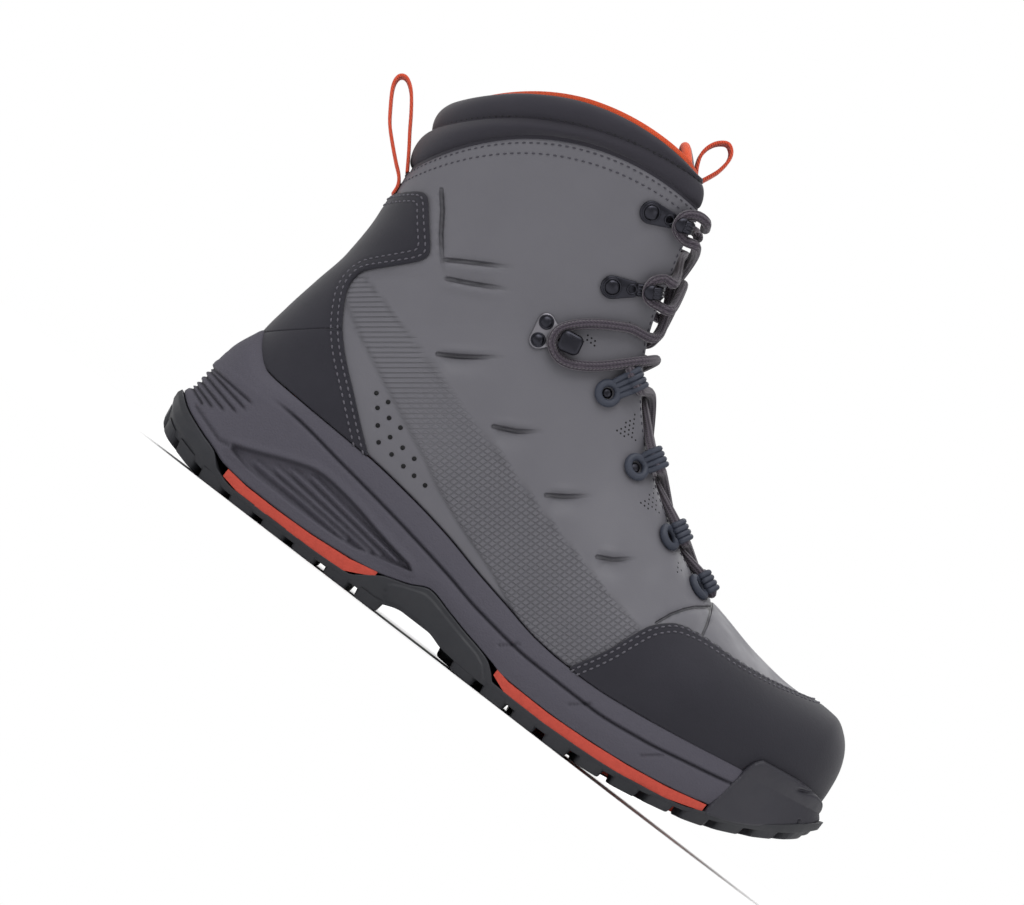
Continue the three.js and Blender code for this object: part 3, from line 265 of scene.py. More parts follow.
def offset(row, turn, side, distance):
    return surface(row, turn, side) + normal(row, turn, side) * np.asarray(distance)[..., None]


def locate(x, z, side):
    """Row and turn of the surface point that shows at x, z from the side."""
    best = (LAST_ROW / 2, PI / 2)
    for row_span, turn_span, count in ((LAST_ROW / 2, PI / 2, 160), (0.3, 0.06, 30), (0.03, 0.006, 20)):
        rows = np.clip(best[0] + row_span * np.linspace(-1, 1, count), 0, LAST_ROW)
        turns = np.clip(best[1] + turn_span * np.linspace(-1, 1, count), 0, PI)
        grid = surface(rows[:, None], turns[None, :], side)
        far = np.hypot(grid[..., 0] - x, grid[..., 2] - z)
        i, j = np.unravel_index(np.argmin(far), far.shape)
        best = (rows[i], turns[j])
    return best


# Mesh tools. A patch is a dict of points, normals and triangles.
def even_rows(low, high, count):
    """Rows from low to high, spaced so that the mesh is about even."""
    dense = np.linspace(low, high, 1500)
    grid = np.stack([surface(dense, turn, LATERAL) for turn in np.linspace(0, PI, 7)])
    steps = np.linalg.norm(np.diff(grid, axis=1), axis=-1).max(axis=0) + 1e-4
    reached = np.concatenate([[0], np.cumsum(steps)])
    return np.interp(np.linspace(0, reached[-1], count), reached, dense)


def grid_triangles(rows, columns, start=0):
    i, j = np.meshgrid(np.arange(rows - 1), np.arange(columns - 1), indexing="ij")
    a = (start + i * columns + j).ravel()
    lower = np.stack([a, a + 1, a + columns], axis=1)
    upper = np.stack([a + 1, a + columns + 1, a + columns], axis=1)
    return np.concatenate([lower, upper])


def weld(patch):
    """Makes points that lie together one, and drops triangles that lose their area."""
    keys = np.round(patch["points"] * 500).astype(np.int64)
    _, first, index = np.unique(keys, axis=0, return_index=True, return_inverse=True)
    index = index.ravel()
    triangles = index[patch["triangles"]]
    a, b, c = triangles.T
    triangles = triangles[(a != b) & (b != c) & (a != c)]
    welded = {name: patch[name][first] for name in patch if name != "triangles"}
    return {**welded, "triangles": triangles}


def body_patch(low, high, row_count, turn_count):
    """Both sides of the upper between two rows, joined where they meet."""
    rows = even_rows(low, high, row_count)
    if low < THROAT_ROW < high:
        rows[np.argmin(np.abs(rows - THROAT_ROW))] = THROAT_ROW
    turns = np.linspace(0, PI, turn_count)
    parts = {"points": [], "normals": [], "row": [], "turn": [], "triangles": []}
    for k, side in enumerate(SIDES):
        row, turn = np.meshgrid(rows, turns, indexing="ij")
        parts["points"].append(surface(row, turn, side).reshape(-1, 3))
        parts["normals"].append(normal(row, turn, side).reshape(-1, 3))
        parts["row"].append(row.ravel())
        parts["turn"].append(turn.ravel())
        triangles = grid_triangles(len(rows), len(turns), k * row.size)
        parts["triangles"].append(triangles if side == LATERAL else triangles[:, ::-1])
    patch = {name: np.concatenate(parts[name]) for name in parts}
    return weld(patch)


def border_edges(triangles):
    """Directed edges that only one triangle has."""
    pairs = np.concatenate([triangles[:, [0, 1]], triangles[:, [1, 2]], triangles[:, [2, 0]]])
    size = triangles.max() + 1
    forward = pairs[:, 0] * size + pairs[:, 1]
    backward = pairs[:, 1] * size + pairs[:, 0]
    return pairs[~np.isin(forward, backward)]


def clip(patch, value):
    """The part of a patch where value is above 0, cut along the line where it is 0."""
    triangles = patch["triangles"]
    inside = value > 0
    counts = inside[triangles].sum(axis=1)
    whole = triangles[counts == 3]
    names = [name for name in patch if name != "triangles"]
    extra = {name: [] for name in names}
    made = {}
    size = len(value)

    def cut(a, b):
        key = (min(a, b), max(a, b))
        if key not in made:
            low, high = key
            share = value[low] / (value[low] - value[high])
            for name in names:
                extra[name].append(patch[name][low] * (1 - share) + patch[name][high] * share)
            made[key] = size + len(made)
        return made[key]

    new = []
    for triangle in triangles[(counts == 1) | (counts == 2)]:
        while inside[triangle[0]] == inside[triangle[2]] or not inside[triangle[0]]:
            triangle = np.roll(triangle, 1)
            if inside[triangle[0]] and not inside[triangle[2]]:
                break
        a, b, c = (int(v) for v in triangle)
        if inside[b]:
            p, q = cut(b, c), cut(a, c)
            new += [[a, b, p], [a, p, q]]
        else:
            new.append([a, cut(a, b), cut(a, c)])
    result = {name: np.concatenate([patch[name], np.array(extra[name])]) for name in names}
    result["triangles"] = np.concatenate([whole, np.array(new, int)])
    used, index = np.unique(result["triangles"], return_inverse=True)
    kept = {name: result[name][used] for name in names}
    return {**kept, "triangles": index.reshape(-1, 3)}


def border_distance(patch, most=12, ignore=None):
    """Distance of each point to the patch's border, up to a limit."""
    edges = border_edges(patch["triangles"])
    if ignore is not None:
        middle = (patch["points"][edges[:, 0]] + patch["points"][edges[:, 1]]) / 2
        edges = edges[~ignore(middle)]
    start, end = patch["points"][edges[:, 0]], patch["points"][edges[:, 1]]
    samples = np.concatenate([start + (end - start) * share for share in (0, 0.34, 0.67)])
    tree = kdtree.KDTree(len(samples))
    for k, point in enumerate(samples):
        tree.insert(point, k)
    tree.balance()
    return np.array([min(most, tree.find(point)[2]) for point in patch["points"]])


def thicken(patch, outer, inner):
    """Closes a patch into a sheet between two offsets along its normals."""
    points, normals, triangles = patch["points"], patch["normals"], patch["triangles"]
    count = len(points)
    outer = np.broadcast_to(outer, count)[:, None]
    inner = np.broadcast_to(inner, count)[:, None]
    edges = border_edges(triangles)
    a, b = edges[:, 0], edges[:, 1]
    rim = [np.stack([b, a, a + count], axis=1), np.stack([b, a + count, b + count], axis=1)]
    faces = np.concatenate([triangles, triangles[:, ::-1] + count, *rim])
    return np.concatenate([points + normals * outer, points + normals * inner]), faces


def to_row(points):
    return (np.asarray(points, float) + SHIFT) * MM


def add_mesh(name, points, faces, material, replaces=()):
    """A piece of the boot from points in millimetres."""
    mesh = bpy.data.meshes.new(name)
    points = to_row(points)
    mesh.vertices.add(len(points))
    mesh.vertices.foreach_set("co", points.ravel())
    faces = np.asarray(faces, np.int32)
    corners = faces.shape[1]
    mesh.loops.add(faces.size)
    mesh.loops.foreach_set("vertex_index", faces.ravel())
    mesh.polygons.add(len(faces))
    mesh.polygons.foreach_set("loop_start", np.arange(len(faces), dtype=np.int32) * corners)
    mesh.polygons.foreach_set("loop_total", np.full(len(faces), corners, np.int32))
    mesh.update(calc_edges=True)
    mesh.validate()
    mesh.shade_smooth()
    piece = bpy.data.objects.new(name, mesh)
    bpy.context.scene.collection.objects.link(piece)
    mesh.materials.append(material)
    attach(piece, "root")
    if replaces:
        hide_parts(*replaces)
    return piece


def outward(points, faces):
    """Turns a closed mesh so that its faces point out."""
    a, b, c = (points[faces[:, k]] for k in range(3))
    volume = np.einsum("ij,ij->i", a, np.cross(b, c)).sum()
    return faces if volume > 0 else faces[:, ::-1]


def capped(rings):
    """Closed solid from a stack of rings, with a fan over each end."""
    count, size = len(rings), len(rings[0])
    ends = [rings[0].mean(axis=0)[None], rings[-1].mean(axis=0)[None]]
    points = np.vstack([*rings, *ends])
    i, j = np.meshgrid(np.arange(count - 1), np.arange(size), indexing="ij")
    a, b = i * size + j, i * size + (j + 1) % size
    start = np.arange(size)
    following = (start + 1) % size
    last = (count - 1) * size
    faces = np.vstack([
        np.stack([a, a + size, b], -1).reshape(-1, 3),
        np.stack([b, a + size, b + size], -1).reshape(-1, 3),
        np.stack([np.full(size, count * size), start, following], axis=1),
        np.stack([np.full(size, count * size + 1), last + following, last + start], axis=1),
    ])
    return points, outward(points, faces)


def merge(parts):
    """One mesh from several closed ones, each turned outwards."""
    points, faces, count = [], [], 0
    for own, triangles in parts:
        points.append(own)
        faces.append(outward(own, triangles) + count)
        count += len(own)
    return np.vstack(points), np.vstack(faces)


def set_attribute(piece, name, values):
    layer = piece.data.attributes.new(name, "FLOAT", "POINT")
    layer.data.foreach_set("value", np.asarray(values, np.float32))


# Side-view fields
def polyline_distance(line, x, z):
    """Distance in the side view to a polyline, and the share of its length reached there."""
    line = np.asarray(line, float)
    lengths = np.linalg.norm(np.diff(line, axis=0), axis=1)
    reached = np.concatenate([[0], np.cumsum(lengths)])
    best = np.full(np.shape(x), np.inf)
    share = np.zeros(np.shape(x))
    side = np.zeros(np.shape(x))
    for k, length in enumerate(lengths):
        dx, dz = (line[k + 1] - line[k]) / length
        rx, rz = x - line[k, 0], z - line[k, 1]
        t = np.clip(rx * dx + rz * dz, 0, length)
        far = np.hypot(rx - t * dx, rz - t * dz)
        closer = far < best
        best = np.where(closer, far, best)
        share = np.where(closer, (reached[k] + t) / reached[-1], share)
        side = np.where(closer, np.sign(dx * rz - dz * rx), side)
    return best, share, side


def outline_depth(outline, x, z):
    """Signed distance in the side view to a closed outline, above 0 inside it."""
    closed = np.vstack([outline, outline[:1]])
    far, _, _ = polyline_distance(closed, x, z)
    inside = np.zeros(np.shape(x), bool)
    for (x0, z0), (x1, z1) in zip(closed[:-1], closed[1:]):
        if z0 == z1:
            continue
        crosses = (z0 > z) != (z1 > z)
        inside ^= crosses & (x < x0 + (z - z0) * (x1 - x0) / (z1 - z0))
    return np.where(inside, far, -far)


def soften(line, passes=2, closed=False):
    """Rounds the corners of a polyline by cutting them."""
    line = np.asarray(line, float)
    for _ in range(passes):
        following = np.roll(line, -1, axis=0) if closed else line[1:]
        current = line if closed else line[:-1]
        cut = np.stack([0.75 * current + 0.25 * following, 0.25 * current + 0.75 * following], axis=1)
        cut = cut.reshape(-1, 2)
        line = cut if closed else np.vstack([line[:1], cut, line[-1:]])
    return line


def smoothstep(low, high, value):
    t = np.clip((value - low) / (high - low), 0, 1)
    return t * t * (3 - 2 * t)


def bump_line(far, width):
    return np.exp(-((far / width) ** 2))


side_outline = lambda rows: np.array(rows) * [LENGTH, SHAFT_HEIGHT]

TOE_CAP = soften(side_outline([
    [0.61, 0.02], [0.61, 0.139], [0.615, 0.153], [0.623, 0.172], [0.631, 0.194], [0.638, 0.216],
    [0.646, 0.246], [0.656, 0.281], [0.663, 0.294], [0.672, 0.307], [0.682, 0.318],
    [0.698, 0.326], [0.738, 0.332], [0.769, 0.332], [0.8, 0.337], [0.831, 0.344], [0.862, 0.353],
    [0.892, 0.363], [0.908, 0.4], [1.02, 0.4], [1.02, 0.02],
]), closed=True)
HEEL_COUNTER = soften(side_outline([
    [-0.03, 0.05], [-0.03, 0.628], [0.061, 0.628], [0.075, 0.647], [0.086, 0.66], [0.0945, 0.668],
    [0.103, 0.668], [0.11, 0.659], [0.125, 0.632], [0.142, 0.604], [0.1505, 0.588],
    [0.152, 0.578], [0.148, 0.562], [0.134, 0.54], [0.12, 0.519], [0.103, 0.495], [0.096, 0.483],
    [0.093, 0.462], [0.0945, 0.447], [0.1, 0.426], [0.118, 0.383], [0.138, 0.351],
    [0.159, 0.324], [0.179, 0.301], [0.2025, 0.272], [0.228, 0.242], [0.249, 0.219],
    [0.249, 0.05],
]), passes=1, closed=True)

# Embossed band of the quarter: upper and lower edge in the side view.
BAND_TOP = [
    [30, 108.5], [46, 104], [70, 97.3], [88, 91.8], [110, 86.2], [130, 80.8], [150, 75], [170, 70],
    [190, 65], [215, 60],
]
BAND_BOTTOM = [
    [30, 97.5], [45, 88], [60, 81], [75, 74], [90, 67], [100, 62.5], [110, 57], [125, 50.8],
    [135, 47.4], [150, 42.4], [163, 36.6], [177, 31], [215, 20],
]
# Darts: pointed troughs that open downwards.
DARTS = [
    [[77, 100.5], [84.4, 105], [90.7, 109.5], [100, 116.5]],
    [[113.5, 90.8], [122.3, 95], [131.4, 101.8]],
    [[148, 81.5], [155, 86.2], [163.3, 92.8]],
    [[180, 74], [185.8, 77], [193.3, 83.3]],
]
CREASES = [
    [[36.6, 155.5], [42.5, 148.6], [48, 140.5], [54.8, 132.3], [59.8, 127.3]],
    [[55.7, 133.2], [65.3, 139.1], [74.4, 144.5], [80.5, 148.2]],
    [[60.7, 127.3], [69.8, 131.8], [78.9, 136.8], [85, 140]],
]
SOFT_CREASE = [[33.5, 110.9], [42.5, 116.4], [51.6, 120.9], [60.7, 124.5]]
DRAIN_HOLES = [
    [66.7, 72.3], [72.8, 72.3], [70.8, 67.7], [77.1, 67.3], [83.3, 67], [75.3, 62], [82.3, 61.3],
    [89, 61], [95.6, 60.3], [79.8, 56.7], [87.1, 56], [93.9, 55.1], [99.8, 54.7], [105.8, 54.3],
]
VAMP_SEAM = [[230, 91], [231.7, 85.3], [233.3, 79.5], [234.2, 73.5]]
QUARTER_FRONT = [[230.5, 86.5], [225, 82.4], [221.7, 78.8], [218.3, 73.7], [215.4, 67]]


def band_share(x, z):
    """1 inside the embossed band and 0 outside it."""
    top = np.interp(x, *np.transpose(BAND_TOP))
    bottom = np.interp(x, *np.transpose(BAND_BOTTOM))
    return smoothstep(-0.5, 0.6, top - z) * smoothstep(-0.5, 0.6, z - bottom)


def fold_share(x, z):
    """Strength of the painted shade of the nearest dart or crease, which fades towards its far end."""
    nearest = np.full(np.shape(x), np.inf)
    strength = np.zeros(np.shape(x))
    for line in DARTS + CREASES:
        far, share, _ = polyline_distance(line, x, z)
        strength = np.where(far < nearest, smoothstep(1.02, 0.45, share), strength)
        nearest = np.minimum(far, nearest)
    return strength


# Relief of the upper: depths, rises and widths of its moulded lines.
BAND_RISE = 0.55
DART_DEPTH, DART_BELOW, DART_ABOVE = 2.6, 5.5, 1.1
DART_LIP, DART_LIP_AT, DART_LIP_WIDTH = 0.5, 2.8, 1.6
CREASE_DEPTH, CREASE_WIDTH = 1.3, 1.0
CREASE_RIDGE, CREASE_RIDGE_AT, CREASE_RIDGE_WIDTH = 0.9, 2.6, 2.2
SOFT_DEPTH, SOFT_WIDTH = 0.9, 2.4
SEAM_DEPTH, SEAM_WIDTH = 0.8, 0.9
HOLE_DEPTH, HOLE_WIDTH = 0.3, 1.5


def upper_relief(points):
    """Height of the moulded relief over the plain surface of the upper, and its painted shade: darker
    along the darts, creases, seams and band edges.
    """
    x, z = points[:, 0], points[:, 2]
    hidden = np.maximum(outline_depth(TOE_CAP, x, z), outline_depth(HEEL_COUNTER, x, z))
    open_share = smoothstep(-0.2, -1.6, hidden)
    height = BAND_RISE * band_share(x, z)
    shade = np.zeros(len(x))
    for dart in DARTS:
        far, share, side = polyline_distance(dart, x, z)
        fade = smoothstep(-0.02, 0.16, share) * smoothstep(1.0, 0.3, share)
        height -= DART_DEPTH * fade * bump_line(far, np.where(side < 0, DART_BELOW, DART_ABOVE))
        lip = bump_line(far - DART_LIP_AT, DART_LIP_WIDTH)
        height += DART_LIP * fade * np.where(side > 0, lip, 0)
        shade += 0.5 * fade * bump_line(far, 0.9)
    for crease in CREASES:
        far, share, side = polyline_distance(crease, x, z)
        fade = smoothstep(0, 0.06, share) * smoothstep(1, 0.6, share)
        height -= CREASE_DEPTH * fade * bump_line(far, CREASE_WIDTH)
        ridge = bump_line(far - CREASE_RIDGE_AT, CREASE_RIDGE_WIDTH)
        height += CREASE_RIDGE * fade * np.where(side < 0, ridge, 0)
        shade += 0.55 * fade * bump_line(far, 0.8)
    far, share, _ = polyline_distance(SOFT_CREASE, x, z)
    height -= SOFT_DEPTH * smoothstep(1, 0.4, share) * bump_line(far, SOFT_WIDTH)
    for seam in (VAMP_SEAM, QUARTER_FRONT):
        far, _, _ = polyline_distance(seam, x, z)
        height -= SEAM_DEPTH * bump_line(far, SEAM_WIDTH)
        shade += 0.7 * bump_line(far, 0.7)
    for border, dark in ((BAND_TOP, 0.35), (BAND_BOTTOM, 0.3)):
        far, _, _ = polyline_distance(border, x, z)
        shade += dark * bump_line(far, 0.8)
    for hole in DRAIN_HOLES:
        far = np.hypot(x - hole[0], z - hole[1])
        height -= HOLE_DEPTH * bump_line(far, HOLE_WIDTH)
    return height * open_share, np.clip(shade, 0, 0.9) * open_share


# Materials
def linear(red, green, blue):
    """A colour given as it shows on screen, 0 to 255, in the shader's own scale."""
    values = np.array([red, green, blue]) / 255
    return tuple(np.where(values <= 0.04045, values / 12.92, ((values + 0.055) / 1.055) ** 2.4))


class Finish:
    """A material with a few chained nodes."""

    def __init__(self, name, color, roughness=0.7, metallic=0.0, specular=0.5, sheen=0.0):
        self.material = bpy.data.materials.new(name)
        self.material.use_nodes = True
        self.nodes = self.material.node_tree.nodes
        self.links = self.material.node_tree.links
        self.shader = self.nodes["Principled BSDF"]
        self.color = linear(*color)
        self.shader.inputs["Base Color"].default_value = (*self.color, 1)
        self.shader.inputs["Roughness"].default_value = roughness
        self.shader.inputs["Metallic"].default_value = metallic
        self.shader.inputs["Specular IOR Level"].default_value = specular
        self.shader.inputs["Sheen Weight"].default_value = sheen
        self.place = self.add("ShaderNodeTexCoord").outputs["Object"]
        self.last_normal = None

    def add(self, kind, **values):
        node = self.nodes.new(kind)
        for name, value in values.items():
            setattr(node, name, value)
        return node

    def feed(self, socket, value):
        if isinstance(value, bpy.types.NodeSocket):
            self.links.new(value, socket)
        else:
            socket.default_value = value

    def math(self, operation, *values, clamp=False):
        node = self.add("ShaderNodeMath", operation=operation, use_clamp=clamp)
        for socket, value in zip(node.inputs, values):
            self.feed(socket, value)
        return node.outputs[0]

    def noise(self, scale, detail=3.0, roughness=0.55):
        node = self.add("ShaderNodeTexNoise")
        self.links.new(self.place, node.inputs["Vector"])
        node.inputs["Scale"].default_value = scale
        node.inputs["Detail"].default_value = detail
        node.inputs["Roughness"].default_value = roughness
        return node.outputs["Fac"]

    def cells(self, scale):
        node = self.add("ShaderNodeTexVoronoi")
        self.links.new(self.place, node.inputs["Vector"])
        node.inputs["Scale"].default_value = scale
        return node.outputs["Distance"]

    def attribute(self, name):
        return self.add("ShaderNodeAttribute", attribute_name=name).outputs["Fac"]

    def axes(self):
        node = self.add("ShaderNodeSeparateXYZ")
        self.links.new(self.place, node.inputs[0])
        return node.outputs

    def ramp(self, value, low, high, to_low=0.0, to_high=1.0):
        node = self.add("ShaderNodeMapRange", interpolation_type="SMOOTHSTEP")
        for socket, number in zip(node.inputs, (value, low, high, to_low, to_high)):
            self.feed(socket, number)
        return node.outputs[0]

    def tint(self, share, color):
        """Mixes the base colour towards another one by a share."""
        mix = self.add("ShaderNodeMix", data_type="RGBA")
        self.feed(mix.inputs[0], share)
        links = self.shader.inputs["Base Color"].links
        if links:
            self.links.new(links[0].from_socket, mix.inputs[6])
        else:
            mix.inputs[6].default_value = self.shader.inputs["Base Color"].default_value
        mix.inputs[7].default_value = (*linear(*color), 1)
        self.links.new(mix.outputs[2], self.shader.inputs["Base Color"])
        return self

    def rough(self, value, low, high):
        self.links.new(self.ramp(value, 0.3, 0.7, low, high), self.shader.inputs["Roughness"])
        return self

    def stroke(self, lines, width):
        """1 on side-view lines in the boot's frame, and 0 from a width away."""
        x, _, z = self.axes()
        flat = self.add("ShaderNodeCombineXYZ")
        self.links.new(x, flat.inputs[0])
        self.links.new(z, flat.inputs[2])

        def vector(operation, first, second=None, out="Vector", socket=1):
            node = self.add("ShaderNodeVectorMath", operation=operation)
            self.feed(node.inputs[0], first)
            if second is not None:
                self.feed(node.inputs[socket], second)
            return node.outputs[out]

        nearest = None
        for line in lines:
            for (x0, z0), (x1, z1) in zip(line[:-1], line[1:]):
                start = Vector(to_row((x0, 0, z0))) * Vector((1, 0, 1))
                run = Vector((x1 - x0, 0, z1 - z0)) * MM
                away = vector("SUBTRACT", flat.outputs[0], start)
                share = vector("DOT_PRODUCT", away, run / run.length_squared, out="Value")
                share = self.math("MULTIPLY", share, 1.0, clamp=True)
                step = vector("SCALE", run, share, socket="Scale")
                far = vector("LENGTH", vector("SUBTRACT", away, step), out="Value")
                nearest = far if nearest is None else self.math("MINIMUM", nearest, far)
        return self.ramp(nearest, 0.25 * width * MM, width * MM, 1.0, 0.0)

    def bump(self, height, distance, strength=1.0):
        """Adds a bump of that height in millimetres."""
        node = self.add("ShaderNodeBump")
        node.inputs["Distance"].default_value = distance * MM
        node.inputs["Strength"].default_value = strength
        self.links.new(height, node.inputs["Height"])
        if self.last_normal:
            self.links.new(self.last_normal, node.inputs["Normal"])
        self.last_normal = node.outputs["Normal"]
        self.links.new(self.last_normal, self.shader.inputs["Normal"])
        return self


def upper_finish():
    """Coated grey cloth with a fine pebble, and a diamond grid on the embossed band."""
    finish = Finish("coated_cloth", (91, 90, 96), 0.55, specular=0.4)
    x, _, z = finish.axes()
    band = finish.attribute("band")
    growing = finish.attribute("growing")

    def stripes(along_x, along_z, pitch):
        turn = 2 * PI / (pitch * MM)
        phases = [finish.math("MULTIPLY", x, along_x * turn), finish.math("MULTIPLY", z, along_z * turn)]
        return finish.ramp(finish.math("SINE", finish.math("ADD", *phases)), 0.35, 0.95)

    one = stripes(math.cos(1.6), math.sin(1.6), 2.3)
    other = stripes(math.cos(-0.3), math.sin(-0.3), 2.3)
    level = stripes(math.cos(-0.92), math.sin(-0.92), 2.1)
    front = finish.math("MULTIPLY", finish.math("MAXIMUM", one, other), growing)
    back = finish.math("MULTIPLY", level, finish.math("SUBTRACT", 1.0, growing))
    grid = finish.math("MULTIPLY", finish.math("MAXIMUM", front, back), band)
    finish.tint(finish.ramp(finish.noise(28, 4), 0.35, 0.75, 0, 0.3), (82, 81, 87))
    # Painted shade in the recessed lines of the diamond grid on the band.
    finish.tint(finish.math("MULTIPLY", grid, 0.5), (60, 59, 64))
    # Painted shade from the crease attribute: darker along the darts, creases, seams and band edges.
    finish.tint(finish.attribute("crease"), (42, 41, 46))
    finish.rough(finish.noise(60, 3), 0.5, 0.66)
    finish.bump(finish.noise(1700, 2), 0.05, 0.7)
    finish.bump(finish.math("SUBTRACT", 1.0, grid), 0.35, 0.9)
    # Painted shade: dark strokes along the dart and crease troughs and along the seams, sunk by a
    # matching bump.
    painted_fold_shade = finish.math("MULTIPLY", finish.stroke(DARTS + CREASES, 1.25), finish.attribute("fold"))
    seams = finish.stroke([VAMP_SEAM, QUARTER_FRONT], 0.7)
    lines = finish.math("MAXIMUM", painted_fold_shade, seams)
    finish.tint(finish.math("MULTIPLY", lines, 0.6), (38, 37, 42))
    finish.bump(finish.math("SUBTRACT", 1.0, lines), 0.9, 1.0)
    return finish.material


def nubuck_finish(name, color, light):
    finish = Finish(name, color, 0.82, specular=0.3, sheen=0.12)
    finish.tint(finish.ramp(finish.noise(22, 5), 0.4, 0.8, 0, 0.5), light)
    finish.bump(finish.noise(900, 4, 0.7), 0.12, 0.6)
    finish.bump(finish.noise(120, 3), 0.25, 0.35)
    return finish.material


def foam_finish():
    finish = Finish("pebbled_foam", (70, 68, 77), 0.75, specular=0.3)
    finish.tint(finish.ramp(finish.noise(300, 2), 0.4, 0.7, 0, 0.35), (68, 66, 75))
    # Painted shade from the crease attribute: darker in the wall's grooves, beside its ribs and along its
    # recess edge.
    finish.tint(finish.attribute("crease"), (26, 25, 32))
    finish.bump(finish.cells(1100), 0.16, 0.8)
    finish.bump(finish.noise(70, 2), 0.2, 0.2)
    return finish.material


def rubber_finish(name, color, light, roughness=0.5):
    finish = Finish(name, color, roughness, specular=0.42)
    finish.tint(finish.ramp(finish.noise(45, 4), 0.4, 0.8, 0, 0.5), light)
    finish.rough(finish.noise(90, 3), roughness - 0.06, roughness + 0.12)
    finish.bump(finish.noise(900, 2), 0.05, 0.5)
    return finish.material


def orange_rubber_finish():
    finish = Finish("orange_rubber", (176, 66, 52), 0.65, specular=0.3)
    finish.tint(finish.ramp(finish.noise(400, 2), 0.4, 0.7, 0, 0.4), (158, 56, 44))
    finish.bump(finish.cells(1000), 0.14, 0.8)
    return finish.material


def cloth_finish(name, color, dark, pitch=0.9, roughness=0.9, sheen=0.2):
    """Woven or knitted cloth with a fine grid of threads."""
    finish = Finish(name, color, roughness, specular=0.2, sheen=sheen)
    x, y, z = finish.axes()
    turn = 2 * PI / (pitch * MM)
    slanted = finish.math("ADD", x, y)
    warp = finish.math("SINE", finish.math("MULTIPLY", slanted, turn))
    climbing = finish.math("SUBTRACT", z, finish.math("MULTIPLY", x, 0.35))
    weft = finish.math("SINE", finish.math("MULTIPLY", climbing, turn))
    threads = finish.math("MULTIPLY", warp, weft)
    # Painted shade in the hollows between the threads.
    finish.tint(finish.ramp(threads, -0.9, 0.5, 0.45, 0), dark)
    finish.tint(finish.ramp(finish.noise(35, 4), 0.45, 0.8, 0, 0.35), dark)
    finish.bump(threads, 0.12, 0.7)
    finish.bump(finish.noise(160, 3), 0.2, 0.3)
    return finish.material


def webbing_finish(name, color, dark, pitch=1.1):
    """Woven tape: ribs across its length."""
    finish = Finish(name, color, 0.85, specular=0.2, sheen=0.25)
    x, y, z = finish.axes()
    turn = 2 * PI / (pitch * MM)
    climbing = finish.math("ADD", z, finish.math("MULTIPLY", x, 0.6))
    ribs = finish.math("SINE", finish.math("MULTIPLY", climbing, turn))
    ends = finish.math("SINE", finish.math("MULTIPLY", y, turn * 0.9))
    weave = finish.math("MULTIPLY", ribs, ends)
    # Painted shade in the hollows of the weave.
    finish.tint(finish.ramp(weave, -0.8, 0.4, 0.5, 0), dark)
    finish.bump(weave, 0.16, 0.9)
    return finish.material


def metal_finish(name, color, roughness):
    finish = Finish(name, color, roughness, metallic=1.0)
    finish.rough(finish.noise(140, 4), roughness - 0.05, roughness + 0.12)
    finish.bump(finish.noise(500, 2), 0.02, 0.4)
    return finish.material


def lace_finish():
    """Round braid: two sets of strands that cross on the tube."""
    finish = Finish("braid", (74, 67, 76), 0.85, specular=0.2, sheen=0.2)
    around = finish.math("ARCTAN2", finish.attribute("ring_sine"), finish.attribute("ring_cosine"))
    along = finish.math("MULTIPLY", finish.attribute("along"), 2 * PI / 1.5)
    rows = finish.math("SINE", finish.math("MULTIPLY", around, 8.0))
    bends = finish.math("SINE", finish.math("ADD", along, finish.math("MULTIPLY", rows, 1.6)))
    # Painted shade in the hollows between the braid's strands and at their bends.
    finish.tint(finish.ramp(rows, -0.95, -0.1, 0.7, 0), (34, 30, 38))
    finish.tint(finish.ramp(bends, -0.9, 0.1, 0.4, 0), (44, 40, 48))
    finish.tint(finish.ramp(finish.noise(500, 2), 0.5, 0.7, 0, 0.2), (92, 84, 92))
    finish.bump(rows, 0.3, 0.8)
    finish.bump(bends, 0.12, 0.6)
    return finish.material


UPPER = upper_finish()
NUBUCK = nubuck_finish("nubuck", (31, 30, 38), (42, 41, 49))
COLLAR = nubuck_finish("padded_collar", (40, 38, 46), (52, 50, 58))
FOAM = foam_finish()
RUBBER = rubber_finish("rubber", (36, 35, 43), (45, 44, 52))
TREAD = rubber_finish("tread_rubber", (32, 33, 38), (42, 42, 48), 0.6)
ORANGE_RUBBER = orange_rubber_finish()
LINING = cloth_finish("lining", (214, 84, 46), (168, 58, 32))
INSOLE = cloth_finish("insole_cloth", (150, 60, 40), (110, 42, 28))
TONGUE = cloth_finish("tongue_cloth", (100, 99, 103), (80, 79, 84), 0.7, 0.75, 0.1)
WEBBING = webbing_finish("webbing", (206, 80, 52), (160, 52, 34))
LOOPS = rubber_finish("lace_loop_moulding", (44, 48, 60), (54, 59, 72), 0.6)
GUNMETAL = metal_finish("gunmetal", (128, 126, 132), 0.34)
BLACK_METAL = metal_finish("black_nickel", (50, 50, 56), 0.3)
BRAID = lace_finish()
THREAD = nubuck_finish("thread", (60, 58, 66), (78, 76, 84))
PALE_THREAD = nubuck_finish("pale_thread", (80, 78, 86), (96, 94, 102))
DARK_THREAD = nubuck_finish("dark_thread", (28, 27, 32), (40, 38, 44))
# Painted shade: near-black rubber for the plugs that stand for the inside of the drain holes and
# pinholes.
HOLE_SHADE = rubber_finish("hole", (14, 14, 16), (20, 20, 22), 0.9)


